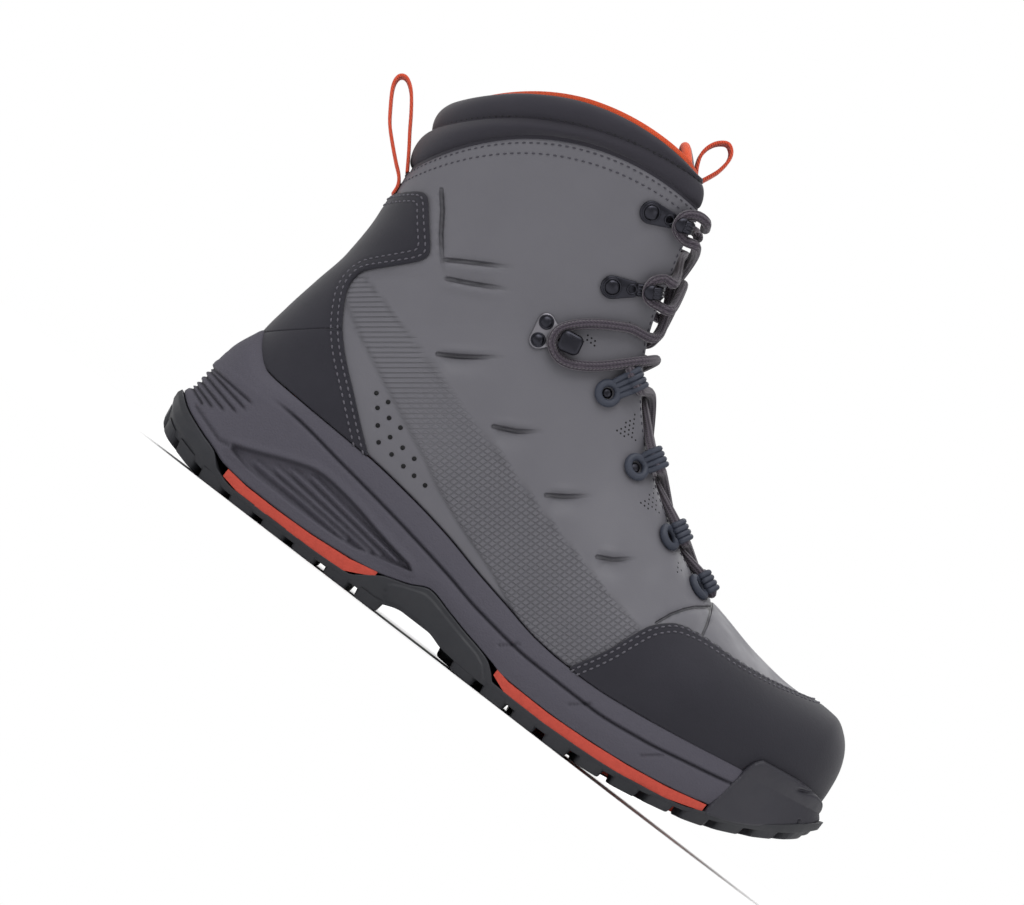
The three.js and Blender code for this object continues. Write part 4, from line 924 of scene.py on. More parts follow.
# Stitches
def contour(patch, field, level):
    """Lines on a patch where a field has one value, as lists of points and normals."""
    above = field > level
    links = {}
    places = {}
    for triangle in patch["triangles"]:
        if above[triangle].all() or not above[triangle].any():
            continue
        ends = []
        for a, b in ((triangle[0], triangle[1]), (triangle[1], triangle[2]), (triangle[2], triangle[0])):
            if above[a] == above[b]:
                continue
            key = (min(a, b), max(a, b))
            if key not in places:
                share = (level - field[key[0]]) / (field[key[1]] - field[key[0]])
                point = patch["points"][key[0]] * (1 - share) + patch["points"][key[1]] * share
                turned = patch["normals"][key[0]] * (1 - share) + patch["normals"][key[1]] * share
                places[key] = np.concatenate([point, turned])
            ends.append(key)
        for key, other in (ends, ends[::-1]):
            links.setdefault(key, []).append(other)
    lines = []
    seen = set()
    for start in sorted(links, key=lambda key: len(links[key])):
        if start in seen:
            continue
        line, key = [], start
        while key is not None:
            seen.add(key)
            line.append(places[key])
            key = next((other for other in links[key] if other not in seen), None)
        lines.append(np.array(line))
    return lines


def resample(line, pitch):
    steps = np.linalg.norm(np.diff(line[:, :3], axis=0), axis=1)
    reached = np.concatenate([[0], np.cumsum(steps)])
    count = max(2, int(reached[-1] / pitch))
    at = np.linspace(0, reached[-1], count)
    return np.stack([np.interp(at, reached, line[:, k]) for k in range(line.shape[1])], axis=1)


STITCH_PITCH = 2.9
STITCH_LONG = 2.0
STITCH_RADIUS = 0.42


def stitch_mesh(lines, lift, pitch=STITCH_PITCH, long=STITCH_LONG, radius=STITCH_RADIUS):
    """One mesh of short sewn stitches along lines of points and normals."""
    sides = 6
    turns = 2 * PI * np.arange(sides) / sides
    shape = []
    for place, share in ((-0.62, 0.7), (0, 1.0), (0.62, 0.7)):
        arch = 0.3 * radius * (1 - place**2)
        width = share * radius
        for turn in turns:
            shape.append([place * long / 2, width * math.cos(turn), width * math.sin(turn) + arch])
    shape.append([-long / 2, 0, -0.5 * radius])
    shape.append([long / 2, 0, -0.5 * radius])
    shape = np.array(shape)
    faces = []
    for ring in range(2):
        for k in range(sides):
            a, b = ring * sides + k, ring * sides + (k + 1) % sides
            faces += [[a, a + sides, b], [b, a + sides, b + sides]]
    first, last = 3 * sides, 3 * sides + 1
    for k in range(sides):
        following = (k + 1) % sides
        faces.append([first, k, following])
        faces.append([last, 2 * sides + following, 2 * sides + k])
    faces = np.array(faces)
    all_points, all_faces = [], []
    count = 0
    for line in lines:
        if len(line) < 2:
            continue
        even = resample(line, pitch)
        middle, out = even[:, :3], unit(even[:, 3:])
        tangent = unit(np.gradient(middle, axis=0))
        side = unit(np.cross(out, tangent))
        centre = middle + out * lift
        points = (centre[:, None] + tangent[:, None] * shape[None, :, :1]
                  + side[:, None] * shape[None, :, 1:2] + out[:, None] * shape[None, :, 2:])
        all_points.append(points.reshape(-1, 3))
        starts = count + np.arange(len(even)) * len(shape)
        all_faces.append((faces[None] + starts[:, None, None]).reshape(-1, 3))
        count += points.shape[0] * points.shape[1]
    return np.concatenate(all_points), np.concatenate(all_faces)


def add_stitches(name, lines, lift, material):
    points, faces = stitch_mesh(lines, lift)
    return add_mesh(name, points, faces, material)


# Upper
def make_upper():
    patch = body_patch(0, QUARTER_TOP_ROW, 232, 88)
    far = border_distance(patch, 2)
    edge = 0.9 * (1 - np.sqrt(1 - (1 - np.clip(far / 1.3, 0, 1)) ** 2))
    relief, shade = upper_relief(patch["points"])
    points, faces = thicken(patch, relief - edge, -WALL)
    piece = add_mesh("upper_shell", points, faces, UPPER, ["upper"])
    x, z = patch["points"][:, 0], patch["points"][:, 2]
    both = lambda values: np.concatenate([values, values])
    set_attribute(piece, "band", both(band_share(x, z)))
    set_attribute(piece, "growing", both(smoothstep(60, 130, x)))
    # The crease attribute carries the painted shade of the relief; fold sets how strong the painted dart
    # and crease strokes are.
    set_attribute(piece, "crease", both(shade))
    set_attribute(piece, "fold", both(fold_share(x, z)))
    return piece


def make_overlay(name, outline, low, high, rows, turns, node, levels):
    """A nubuck panel with soft edges and rows of stitches at distances from its border."""
    patch = body_patch(low, high, rows, turns)
    patch = clip(patch, outline_depth(outline, patch["points"][:, 0], patch["points"][:, 2]))
    on_foot = lambda points: points[:, 2] < height_at(FEATHER, points[:, 0]) + 3 * GAP
    far = border_distance(patch, 9, ignore=on_foot)
    rise = np.sqrt(1 - (1 - np.clip(far / 0.8, 0, 1)) ** 2)
    outer = GAP + OVERLAY * (0.3 + 0.7 * rise)
    for level in levels:
        outer -= 0.3 * bump_line(far - level, 0.7)
    points, faces = thicken(patch, outer, 0.12)
    add_mesh(name, points, faces, NUBUCK, [node])
    lines = [line for level in levels for line in contour(patch, far, level)]
    lines = [line for line in lines if len(line) > 6]
    add_stitches(f"{name}_stitches", lines, GAP + OVERLAY - 0.16, PALE_THREAD)


# Heights over the wall of the dark plugs that show as holes: painted shade where the holes go through.
PLUG_LEVELS = [(-1.2, 0), (0.03, 0)]
DRAIN_RADIUS = 0.98
PIN_RADIUS = 0.42
# Small vents by the throat: triangles in the side view, filled with pinholes.
VENT_PITCH = 1.9
VENT_EDGE = 0.4
VENTS = [
    [[156.5, 131.8], [165, 121.7], [154, 118.3]],
    [[181.5, 112.5], [190.5, 104.5], [180, 100.5]],
    [[207.5, 94], [214.5, 90.5], [208.5, 87]],
    [[119.5, 146.2], [131, 144], [121, 140.5]],
    [[131, 161], [137, 160], [132, 157]],
]


def pinholes():
    """Places of the pinholes that fill the vents, in staggered rows."""
    for vent in VENTS:
        low, high = np.min(vent, axis=0), np.max(vent, axis=0)
        for j, z in enumerate(np.arange(low[1] + 0.8, high[1], VENT_PITCH * 0.87)):
            for x in np.arange(low[0] + (0.5 * VENT_PITCH if j % 2 else 0), high[0], VENT_PITCH):
                if outline_depth(np.array(vent), np.array(x), np.array(z)) > VENT_EDGE:
                    yield x, z


def make_drain_holes():
    """Drain holes and pinholes of both sides, as dark round plugs in the wall that paint the shade inside
    the holes.
    """
    places = [(x, z, DRAIN_RADIUS) for x, z in DRAIN_HOLES]
    places += [(x, z, PIN_RADIUS) for x, z in pinholes()]
    parts = []
    for side in SIDES:
        for x, z, radius in places:
            centre, out = lay([x / LENGTH, z / SHAFT_HEIGHT], side)
            along = unit(np.cross(out, [0, 0, 1]))
            points, faces = disc((0, 0), radius, PLUG_LEVELS, 14)
            parts.append((place_in(np.array([along, np.cross(along, out), out]), centre, points), faces))
    points, faces = merge(parts)
    add_mesh("drain_holes", points, faces, HOLE_SHADE)


def make_seam_stitches():
    """Double rows under the quarter's top edge, and one row along each edge of the throat."""
    lines = []
    for side in SIDES:
        for drop in (0.16, 0.47):
            turns = np.linspace(0.03, PI - 0.05, 90)
            rows = np.full(90, QUARTER_TOP_ROW - drop)
            lines.append(np.hstack([surface(rows, turns, side), normal(rows, turns, side)]))
        rows = np.linspace(THROAT_ROW + 1.2, QUARTER_TOP_ROW - 0.3, 150)
        turns = np.full(150, PI - 0.16)
        lines.append(np.hstack([surface(rows, turns, side), normal(rows, turns, side)]))
    add_stitches("quarter_stitches", lines, -0.08, THREAD)


# Collar
def cuff_offsets(share, along):
    """Outward swell and inward padding of the cuff at a share of its height."""
    thin = np.clip((0.7 - along) / 0.25, 0, 1)
    rolls = np.abs(np.sin(2 * PI * share)) ** 0.75
    swell = (CUFF_SWELL * rolls - 0.4) * (0.4 + 0.6 * thin)
    pad = WALL + thin * (CUFF_THICKNESS - WALL) * np.sin(PI * (0.15 + 0.7 * share))
    return swell, pad


def make_cuff():
    patch = body_patch(QUARTER_TOP_ROW + 0.08, LAST_ROW, 56, 110)
    share = (patch["row"] - QUARTER_TOP_ROW - 0.08) / (LAST_ROW - QUARTER_TOP_ROW - 0.08)
    swell, pad = cuff_offsets(share, patch["turn"] / PI)
    far = border_distance(patch, 4)
    edge = 1.6 * (1 - np.sqrt(1 - (1 - np.clip(far / 2.4, 0, 1)) ** 2))
    x, y, z = patch["points"].T
    wrinkle = 0.16 * np.sin(0.42 * x + 0.21 * y) * np.sin(0.33 * z + 0.25 * y)
    points, faces = thicken(patch, swell - edge + wrinkle, -pad + 0.5 * edge)
    piece = add_mesh("cuff_rolls", points, faces, COLLAR, ["collar_cuff"])
    lines = [np.hstack([surface(rows, turns, side), normal(rows, turns, side)])
             for side in SIDES
             for rows, turns in [(np.full(110, QUARTER_TOP_ROW + 1.1), np.linspace(0.02, PI - 0.1, 110))]]
    add_stitches("cuff_stitches", lines, 0.1, DARK_THREAD)


def make_cuff_tape():
    """Dark tape behind the seam of cuff and quarter."""
    patch = body_patch(QUARTER_TOP_ROW - 0.5, QUARTER_TOP_ROW + 0.45, 10, 90)
    points, faces = thicken(patch, -0.7, -2.3)
    add_mesh("cuff_tape", points, faces, COLLAR)


def make_lining():
    """Cloth lining: down the inside from an edge that stands just above the cuff."""
    patch = body_patch(THROAT_ROW + 0.6, LAST_ROW, 90, 70)
    share = (patch["row"] - QUARTER_TOP_ROW - 0.08) / (LAST_ROW - QUARTER_TOP_ROW - 0.08)
    _, pad = cuff_offsets(np.clip(share, 0, 1), patch["turn"] / PI)
    blend = smoothstep(-0.6, 0.1, share)
    depth = (WALL + 0.35) * (1 - blend) + (pad + 0.3) * blend
    depth = depth + 1.6 * np.exp(-((share / 0.22) ** 2))
    rise = smoothstep(0.94, 1, share)
    depth = depth - rise * (pad * 0.35)
    patch["points"] = patch["points"] + np.outer(rise, [-0.2, 0, 1.9])
    points, faces = thicken(patch, -depth, -depth - 0.8)
    add_mesh("collar_lining", points, faces, LINING)


# Tongue
TONGUE_FROM = 7.8
TONGUE_TO = LAST_ROW + 0.8
TONGUE_HOLD = LAST_ROW - 0.4
TONGUE_RISE = (-0.02 * LENGTH, 0.05 * SHAFT_HEIGHT)


def tongue_crown(half, across):
    return TONGUE_CROWN * half * (1 - across**2) / (0.26 * BALL_WIDTH)


def tongue_patch(rows, columns):
    """Middle surface of the tongue: wrapped edges beside a crowned strip over the throat."""
    row = np.linspace(TONGUE_FROM, TONGUE_TO, rows)
    held = np.minimum(row, TONGUE_HOLD)
    past = row - held
    half = throat_half(held)
    belly = BALL_WIDTH * column(held, WIDE_LATERAL)
    wrap = np.arcsin(np.minimum(0.8, TONGUE_WRAP / (belly - half)))
    strips = []
    place = np.linspace(-1, 1, columns)
    for p in place:
        side = LATERAL if p < 0 else MEDIAL
        out = min(1, max(0, (abs(p) - 0.62) / 0.38))
        across = min(1, abs(p) / 0.62)
        turn = PI - wrap * out
        points = surface(held, turn, side)
        normals = normal(held, turn, side)
        if out == 0:
            edge = surface(held, np.full(rows, PI), side)
            edge_normal = normal(held, np.full(rows, PI), side)
            middle = edge_normal * [1, 0, 1]
            crown = tongue_crown(half, across)
            points = edge * [1, across, 1] + middle * crown[:, None]
            normals = unit(middle + edge_normal * [0, across, 0])
        lean = past + 0.55 * past**2
        points = points + np.outer(lean, [TONGUE_RISE[0], 0, 0]) + np.outer(past, [0, 0, TONGUE_RISE[1]])
        strips.append((points, normals))
    points = np.stack([strip[0] for strip in strips], axis=1).reshape(-1, 3)
    normals = np.stack([strip[1] for strip in strips], axis=1).reshape(-1, 3)
    triangles = grid_triangles(rows, columns)
    return {
        "points": points,
        "normals": normals,
        "row": np.repeat(row, columns),
        "across": np.tile(place, rows),
        "triangles": triangles,
    }


TONGUE_CHANNELS = (11.2, 12.6, 14, 15.6, 18, 21.5, 25)


TONGUE_EDGE = 2.1


def tongue_top(across):
    """Row at which the tongue ends: a rounded top that falls away to its sides."""
    return TONGUE_TO - 0.02 - 1.1 * (np.abs(across) / 0.6) ** 2.6


def make_tongue_edge():
    """Orange binding round the top of the tongue."""
    rows, columns = 400, 121
    patch = tongue_patch(rows, columns)
    depth = WALL + TONGUE_CLEARANCE + TONGUE_THICKNESS / 2
    middle = (patch["points"] - patch["normals"] * depth).reshape(rows, columns, 3)
    levels = patch["row"].reshape(rows, columns)[:, 0]
    path = []
    for k, across in enumerate(np.linspace(-1, 1, columns)):
        if abs(across) > 0.86:
            continue
        top = tongue_top(across) - 0.08
        path.append([np.interp(top, levels, middle[:, k, axis]) for axis in range(3)])
    points, faces, _ = tube(path, TONGUE_EDGE, 16, 0.9)
    add_mesh("tongue_edge", points, outward(points, faces), LINING)


def make_tongue():
    patch = tongue_patch(230, 76)
    patch = clip(patch, tongue_top(patch["across"]) - patch["row"])
    depth = WALL + TONGUE_CLEARANCE
    far = border_distance(patch, 4)
    edge = 1.7 * (1 - np.sqrt(1 - (1 - np.clip(far / 2.2, 0, 1)) ** 2))
    relief = np.zeros(len(far))
    reach = smoothstep(0.62, 0.5, np.abs(patch["across"]))
    for channel in TONGUE_CHANNELS:
        relief -= 0.9 * reach * bump_line(patch["row"] - channel, 0.09)
    relief -= 0.7 * bump_line((np.abs(patch["across"]) - 0.56) * 40, 1.2)
    points, faces = thicken(patch, relief - depth - edge, -depth - TONGUE_THICKNESS + edge)
    piece = add_mesh("tongue_pad", points, outward(points, faces), TONGUE, ["tongue"])


def tube(path, radius, sides=12, step=1.1):
    """A round tube along a smooth path, with its own ring and length values."""
    line = np.asarray(path, float)
    reached = np.concatenate([[0], np.cumsum(np.linalg.norm(np.diff(line, axis=0), axis=1))])
    count = max(8, int(reached[-1] / step))
    at = np.linspace(0, reached[-1], count)
    centre = np.stack([np.interp(at, reached, line[:, k]) for k in range(3)], axis=1)
    tangent = unit(np.gradient(centre, axis=0))
    side = np.cross(tangent[0], [0.31, 0.12, 0.94])
    rings = []
    turns = 2 * PI * np.arange(sides) / sides
    for k in range(count):
        side = unit(side - tangent[k] * np.dot(side, tangent[k]))
        other = np.cross(tangent[k], side)
        round_way = np.outer(np.cos(turns), side) + np.outer(np.sin(turns), other)
        rings.append(centre[k] + radius * round_way)
    points, faces = capped(rings)
    values = {
        "ring_cosine": np.concatenate([np.tile(np.cos(turns), count), [0, 0]]),
        "ring_sine": np.concatenate([np.tile(np.sin(turns), count), [0, 0]]),
        "along": np.concatenate([np.repeat(at, sides), [0, at[-1]]]),
    }
    return points, faces, values


def spline(points, count=12):
    """A smooth curve through points, which keeps their order and never loops."""
    points = np.asarray(points, float)
    padded = np.vstack([2 * points[0] - points[1], points, 2 * points[-1] - points[-2]])
    result = []
    for k in range(len(points) - 1):
        a, b, c, d = padded[k:k + 4]
        t = np.linspace(0, 1, count, endpoint=False)[:, None]
        result.append(0.5 * (2 * b + (c - a) * t + (2 * a - 5 * b + 4 * c - d) * t**2
                             + (3 * b - a - 3 * c + d) * t**3))
    return np.vstack(result + [points[-1:]])


# Lace
LACE_LOOPS = [[0.68, 0.396], [0.611, 0.436], [0.524, 0.503], [0.438, 0.58]]
SPEED_HOOKS = [[0.373, 0.752], [0.356, 0.898]]


def row_at(place, side):
    """Row of the upper that shows at a place in the side view."""
    return locate(place[0] * LENGTH, place[1] * SHAFT_HEIGHT, side)[0]


LOOP_CRESTS = [[0.692, 0.433], [0.626, 0.474], [0.545, 0.547], [0.458, 0.641]]
CREST_BACK = 2.6
LACE_SEAT = 0.7
LOOP_RING = 4.3
LOOP_RIM = 1.65
HOOK_TIPS = [[0.413, 0.79], [0.3935, 0.9165]]


def lay(place, side, lift=0.0):
    """Point over the upper that shows at a place in the side view, and its normal there."""
    row, turn = locate(place[0] * LENGTH, place[1] * SHAFT_HEIGHT, side)
    out = normal(row, turn, side)
    return surface(row, turn, side) + lift * out, out


def fitting_frame(first, second, side):
    """Origin, axes along, across and out, and length of a flat fitting between two places."""
    start, out = lay(first, side)
    end, _ = lay(second, side)
    shown = np.subtract(second, first) * [LENGTH, SHAFT_HEIGHT]
    along = end - start
    along = unit(along - out * np.dot(along, out))
    across = np.cross(out, along)
    if np.dot(across, [-1, 0, 1]) < 0:
        across = -across
    return start, np.array([along, across, out]), float(np.hypot(*shown))


def place_in(frame_axes, start, points):
    """Points given along, across and out of a fitting, in the boot's frame."""
    return start + np.asarray(points, float) @ frame_axes


def over_tongue(row, lift):
    edge = surface(row, PI, LATERAL)
    out = unit(normal(row, PI, LATERAL) * [1, 0, 1])
    crown = tongue_crown(throat_half(row), 0)
    return edge * [1, 0, 1] + out * (crown - WALL - TONGUE_CLEARANCE + LACE / 2 + lift)


def lace_strand(start):
    """Centre line of one half of the lace, from the bottom bar to the top hook."""
    points = []
    side = start
    rows = [row_at(place, side) for place in LACE_LOOPS]
    points.append(over_tongue(rows[0] + 0.1, 0.6))
    for k, row in enumerate(rows):
        origin, axes, long = fitting_frame(LACE_LOOPS[k], LOOP_CRESTS[k], side)
        for across in (-4.6, 0, 4.6):
            points.append(place_in(axes, origin, [[long - CREST_BACK, across, LACE / 2 + LACE_SEAT]])[0])
        following = rows[k + 1] if k + 1 < len(rows) else row + 1.6
        lift = 0.8 if side == LATERAL else 5.0
        points.append(over_tongue((row + following) / 2 + 0.35, lift))
        side = -side
    ankle = [([145, 150], 3.2), ([131, 135.5], 2.7), ([120, 129.5], 2.6), ([112.5, 131.5], 2.9),
             ([110.2, 136.8], 3.1), ([112.5, 142.3], 2.9), ([120, 149.5], 2.6), ([132, 157], 2.8),
             ([141.5, 161.5], 3.4)]
    for place, lift in ankle:
        points.append(lay([place[0] / LENGTH, place[1] / SHAFT_HEIGHT], side, lift)[0])
    points.append(over_tongue(22.6, 1.6 if side == LATERAL else 6.0))
    side = -side
    for k, (hook, tip) in enumerate(zip(SPEED_HOOKS, HOOK_TIPS)):
        origin, axes, long = fitting_frame(hook, tip, side)
        bend = [(long + 5, -6.5, 3.0), (long - 0.5, -5.6, 3.6), (long - 5.4, -3, 3.6),
                (long - 6.2, 0.6, 3.6), (long - 4.2, 4.4, 3.6), (long + 0.5, 5.8, 3.6),
                (long + 5, 4.6, 2.6)]
        points += list(place_in(axes, origin, bend))
        if k == 0:
            points.append(over_tongue(row_at(hook, side) + 2.3, 1.0 if side == LATERAL else 5.4))
            side = -side
        else:
            points.append(place_in(axes, origin, [(long + 8, 1.5, -4)])[0])
    return spline(points, 14)


def solid_levels(outline, levels):
    """Closed solid over a flat outline from levels of height and inset."""
    outline = np.asarray(outline, float)
    centre = outline.mean(axis=0)
    out = unit(outline - centre)
    rings = []
    for height, inset in levels:
        rings.append(np.column_stack([outline - out * inset, np.full(len(outline), height)]))
    return capped(rings)


def disc(centre, radius, levels, sides=28):
    turns = 2 * PI * np.arange(sides) / sides
    outline = np.array(centre) + radius * np.column_stack([np.cos(turns), np.sin(turns)])
    return solid_levels(outline, levels)


def dome(centre, radius, base, height, sides=28):
    steps = np.linspace(0, 0.96, 7)
    levels = [(base, 0)]
    for step in PI / 2 * steps:
        levels.append((base + height * math.sin(step), radius * (1 - math.cos(step))))
    return disc(centre, radius, levels, sides)


def torus(centre, major, minor, height, count=36, sides=12):
    i, j = np.meshgrid(np.arange(count), np.arange(sides), indexing="ij")
    u, v = 2 * PI * i / count, 2 * PI * j / sides
    far = major + minor * np.cos(v)
    x, y = centre[0] + far * np.cos(u), centre[1] + far * np.sin(u)
    points = np.stack([x, y, height + minor * np.sin(v)], -1)
    a, b = i * sides + j, i * sides + (j + 1) % sides
    c, d = ((i + 1) % count) * sides + j, ((i + 1) % count) * sides + (j + 1) % sides
    faces = np.vstack([np.stack([a, c, b], -1).reshape(-1, 3), np.stack([b, c, d], -1).reshape(-1, 3)])
    return points.reshape(-1, 3), faces


def hull_outline(circles, sides=40):
    """Outline round some circles, as a belt would lie."""
    turns = np.linspace(0, 2 * PI, sides, endpoint=False)
    outline = []
    for turn in turns:
        way = np.array([math.cos(turn), math.sin(turn)])
        reach = [np.dot(way, centre) + radius for centre, radius in circles]
        centre, radius = circles[int(np.argmax(reach))]
        outline.append(np.array(centre) + radius * way)
    return np.array(outline)


def seat(parts, axes, start):
    return [(place_in(axes, start, points), faces) for points, faces in parts]


PLATE_LEVELS = [(0.1, 0.2), (0.4, 0), (1.1, 0), (1.4, 0.35)]


def make_lace_loops():
    """Moulded loops: a thick ring at the foot and a ribbed strap that wraps the lace."""
    for side, word in zip(SIDES, ("lateral", "medial")):
        for k in range(4):
            start, axes, long = fitting_frame(LACE_LOOPS[k], LOOP_CRESTS[k], side)
            crest = long - CREST_BACK
            strap = hull_outline([((1.5, 0), 4.9), ((crest - 1, 3.6), 1.0), ((crest - 1, -3.6), 1.0)])
            parts = [torus((0, 0), LOOP_RING, LOOP_RIM, 1.3)]
            plate = strap[strap[:, 0] > 3.2]
            order = np.argsort(np.arctan2(plate[:, 1], plate[:, 0] - plate[:, 0].mean()))
            parts.append(solid_levels(plate[order], [(0.3, 0.1), (0.6, 0), (1.7, 0), (2.0, 0.3)]))
            for across in (-3.5, -1.2, 1.2, 3.5):
                bend = LACE / 2 + 1.0
                turns = np.linspace(-PI / 2, PI * 0.75, 18)
                middle = LACE / 2 + LACE_SEAT
                arch = [(crest + bend * math.cos(t), across, middle + bend * math.sin(t)) for t in turns]
                path = [(crest - 1, across, -0.3)] + arch[1:]
                rise = [(crest - 3.6, across, 3.6), (4.6, across * 0.92, 2.0), (3.4, across * 0.85, 1.4)]
                parts.append(tube(spline(path + rise, 5), 1.28, 10, 0.6)[:2])
            points, faces = merge(seat(parts, axes, start))
            name = f"lace_loop_{word}_{k + 1}"
            add_mesh(f"{name}_form", points, faces, LOOPS, [name])
            points, faces = merge(seat([dome((0, 0), 2.2, 0.1, 0.9)], axes, start))
            add_mesh(f"{name}_rivet", points, faces, BLACK_METAL)


def make_hooks():
    """Speed hooks with two rivets, and the ankle hook with its plate and cap."""
    for side, word in zip(SIDES, ("lateral", "medial")):
        for k, (hook, tip) in enumerate(zip(SPEED_HOOKS, HOOK_TIPS)):
            start, axes, long = fitting_frame(hook, tip, side)
            rear, hole = (-5.1, 0), (3.4, 0)
            base = hull_outline([(rear, 4.9), (hole, 3.5)])
            stem = [(hole[0] + 2, 0, 0.9), (long - 4.2, 0, 1.1), (long - 1.4, 0, 2.6), (long - 0.6, 0, 5),
                    (long - 2, 0, 7.1), (long - 4.6, 0, 7.6)]
            parts = [solid_levels(base, PLATE_LEVELS), dome(rear, 3.3, 1.2, 1.5)]
            parts.append(torus(rear, 3.6, 0.5, 1.4))
            parts.append(torus(hole, 1.9, 0.55, 1.4, 24, 8))
            for across in (-1.5, 0, 1.5):
                parts.append(tube(spline([(a, b + across, c) for a, b, c in stem], 8), 1.25, 10, 0.7)[:2])
            parts.append(dome((long - 5, 0), 3.3, 6.8, 1.5))
            points, faces = merge(seat(parts, axes, start))
            name = f"speed_hook_{word}_{k + 1}"
            add_mesh(f"{name}_form", points, faces, BLACK_METAL, [name])
        start, axes, long = fitting_frame([0.324, 0.597], [0.3603, 0.608], side)
        plate = hull_outline([((0, 4.1), 3.7), ((0, -4.1), 3.7), ((7.5, 0), 2.6)])
        points, faces = merge(seat([solid_levels(plate, PLATE_LEVELS)], axes, start))
        add_mesh(f"ankle_hook_{word}_plate", points, faces, GUNMETAL, [f"ankle_hook_{word}"])
        parts = [dome((0, across), 2.7, 1.2, 1.3) for across in (-4.1, 4.1)]
        parts += [torus((0, across), 2.8, 0.45, 1.45, 24, 8) for across in (-4.1, 4.1)]
        parts.append(disc((long, 0), 2.3, [(0.4, 0), (5.2, 0)]))
        back = [((long - 2, across), 2.6) for across in (2, -2)]
        cap = hull_outline(back + [((long + 2.4, across), 2.8) for across in (1.6, -1.6)])
        parts.append(solid_levels(cap, [(4.9, 0.6), (5.3, 0.1), (6.4, 0), (7.3, 0.6), (7.7, 1.6)]))
        points, faces = merge(seat(parts, axes, start))
        add_mesh(f"ankle_hook_{word}_cap", points, faces, BLACK_METAL)


def band(path, width, thick, step=0.8):
    """A flat tape along a side-view path, with rounded edges."""
    line = spline(np.array(path, float), 12)
    reached = np.concatenate([[0], np.cumsum(np.linalg.norm(np.diff(line, axis=0), axis=1))])
    at = np.linspace(0, reached[-1], int(reached[-1] / step))
    centre = np.stack([np.interp(at, reached, line[:, k]) for k in range(2)], axis=1)
    tangent = unit(np.gradient(centre, axis=0))
    across = np.stack([-tangent[:, 1], tangent[:, 0]], axis=1)
    half, edge = width / 2, thick / 2
    turns = np.linspace(-PI / 2, PI / 2, 6)
    rounded = np.column_stack([-half + edge * (1 - np.cos(turns)), edge * np.sin(turns)])
    flat = np.column_stack([np.linspace(-half + 2, half - 2, 5), np.full(5, edge)])
    section = np.vstack([rounded, flat, -rounded, -flat])
    rings = []
    for middle, normal_way in zip(centre, across):
        x = middle[0] + section[:, 1] * normal_way[0]
        z = middle[1] + section[:, 1] * normal_way[1]
        rings.append(np.column_stack([x, section[:, 0], z]))
    return capped(rings)


HEEL_LOOP = [
    [19.6, 154.3], [14.4, 162.3], [9.8, 168.9], [5.3, 175.7], [0.7, 181.8], [-2.9, 184.9], [-5.6, 185.8],
    [-7.6, 184.6], [-7.9, 181.8], [-6.6, 178.2], [-3.2, 172.6], [1.3, 166.2], [6.7, 160.8], [12.8, 155.3],
    [17.6, 151.2], [19.9, 147.5], [20.4, 143.4],
]
TONGUE_LOOP = [
    [116.6, 222], [117, 226], [114.6, 230.5], [113, 235], [113.3, 239.6], [115.4, 243.6], [119, 246],
    [122.2, 244.3], [123.6, 240.6], [123.1, 235.2], [121.7, 231.2], [119.6, 226.4], [118.4, 222.4],
]


def make_pull_loops():
    points, faces = band(HEEL_LOOP, 15.5, 1.5)
    add_mesh("heel_tape", points, faces, WEBBING, ["heel_pull_loop"])
    points, faces = band(TONGUE_LOOP, 15.5, 1.5)
    add_mesh("tongue_tape", points, faces, WEBBING, ["tongue_pull_loop"])


def make_lace():
    strands = [tube(lace_strand(start), LACE / 2) for start in SIDES]
    points, faces = merge([strand[:2] for strand in strands])
    nodes = ["lace_bar"] + [f"lace_cross_{k + 1}" for k in range(6)]
    piece = add_mesh("lace", points, faces, BRAID, nodes)
    for name in strands[0][2]:
        set_attribute(piece, name, np.concatenate([strand[2][name] for strand in strands]))


# Sole
OUTSOLE_TOP = [
    [0, 0.498], [0.025, 0.39], [0.062, 0.298], [0.086, 0.248], [0.105, 0.144], [0.138, 0.094],
    [0.228, 0.096], [0.315, 0.12], [0.335, 0.2], [0.354, 0.28], [0.385, 0.348], [0.412, 0.424],
    [0.446, 0.374], [0.477, 0.324], [0.508, 0.282], [0.523, 0.25], [0.537, 0.182], [0.545, 0.132],
    [0.615, 0.126], [0.708, 0.154], [0.769, 0.204], [0.831, 0.286], [0.854, 0.348], [0.9, 0.46],
    [1, 0.9],
]
# Wall of the midsole, bottom to top: level, setback of the heel tip, side inset.
MIDSOLE_WALL = [
    [0, 1.2, 0.8], [1, 3.6, 0.2], [2, 4, 0.5], [3, 4.6, 0.9], [4, 5.6, 1.1], [5, UPPER_HEEL - 2, 2.2],
]
MIDSOLE_TOE = LENGTH - RAND_THICKNESS - 4 * GAP
# Rings inside the wall: heel, setback, side inset, side-view edge, rise over it.
MIDSOLE_INSIDE = [
    [UPPER_HEEL - 2, 4, 4.2, FEATHER, 0],
    [UPPER_HEEL - 2, 6.5, 6.6, FEATHER, 0.2],
    [UPPER_HEEL - 2, 7, 7, FEATHER, 2.6],
    [UPPER_HEEL - 2, 9, 9, FEATHER, 2.6],
    [0, 9, 9, MIDSOLE_BOTTOM, 1.2],
]
MIDSOLE_LEVELS = np.concatenate([
    np.linspace(0, 1, 24), np.linspace(1, 2, 22)[1:], np.linspace(2, 3, 9)[1:],
    np.linspace(3, 4, 9)[1:], np.linspace(4, 5, 18)[1:],
])
HEEL_GROOVES = [
    [[-2, 40], [30, 37.5]], [[-2, 39], [29.5, 33.8]], [[-2, 36.6], [27, 30.4]],
    [[-2, 33.6], [22, 28]], [[-2, 31.2], [17, 26]], [[-2, 29.4], [12.8, 24.5]],
]
WRAP_STEP = [[10, 22.6], [26.7, 17.4], [31, 18.3]]
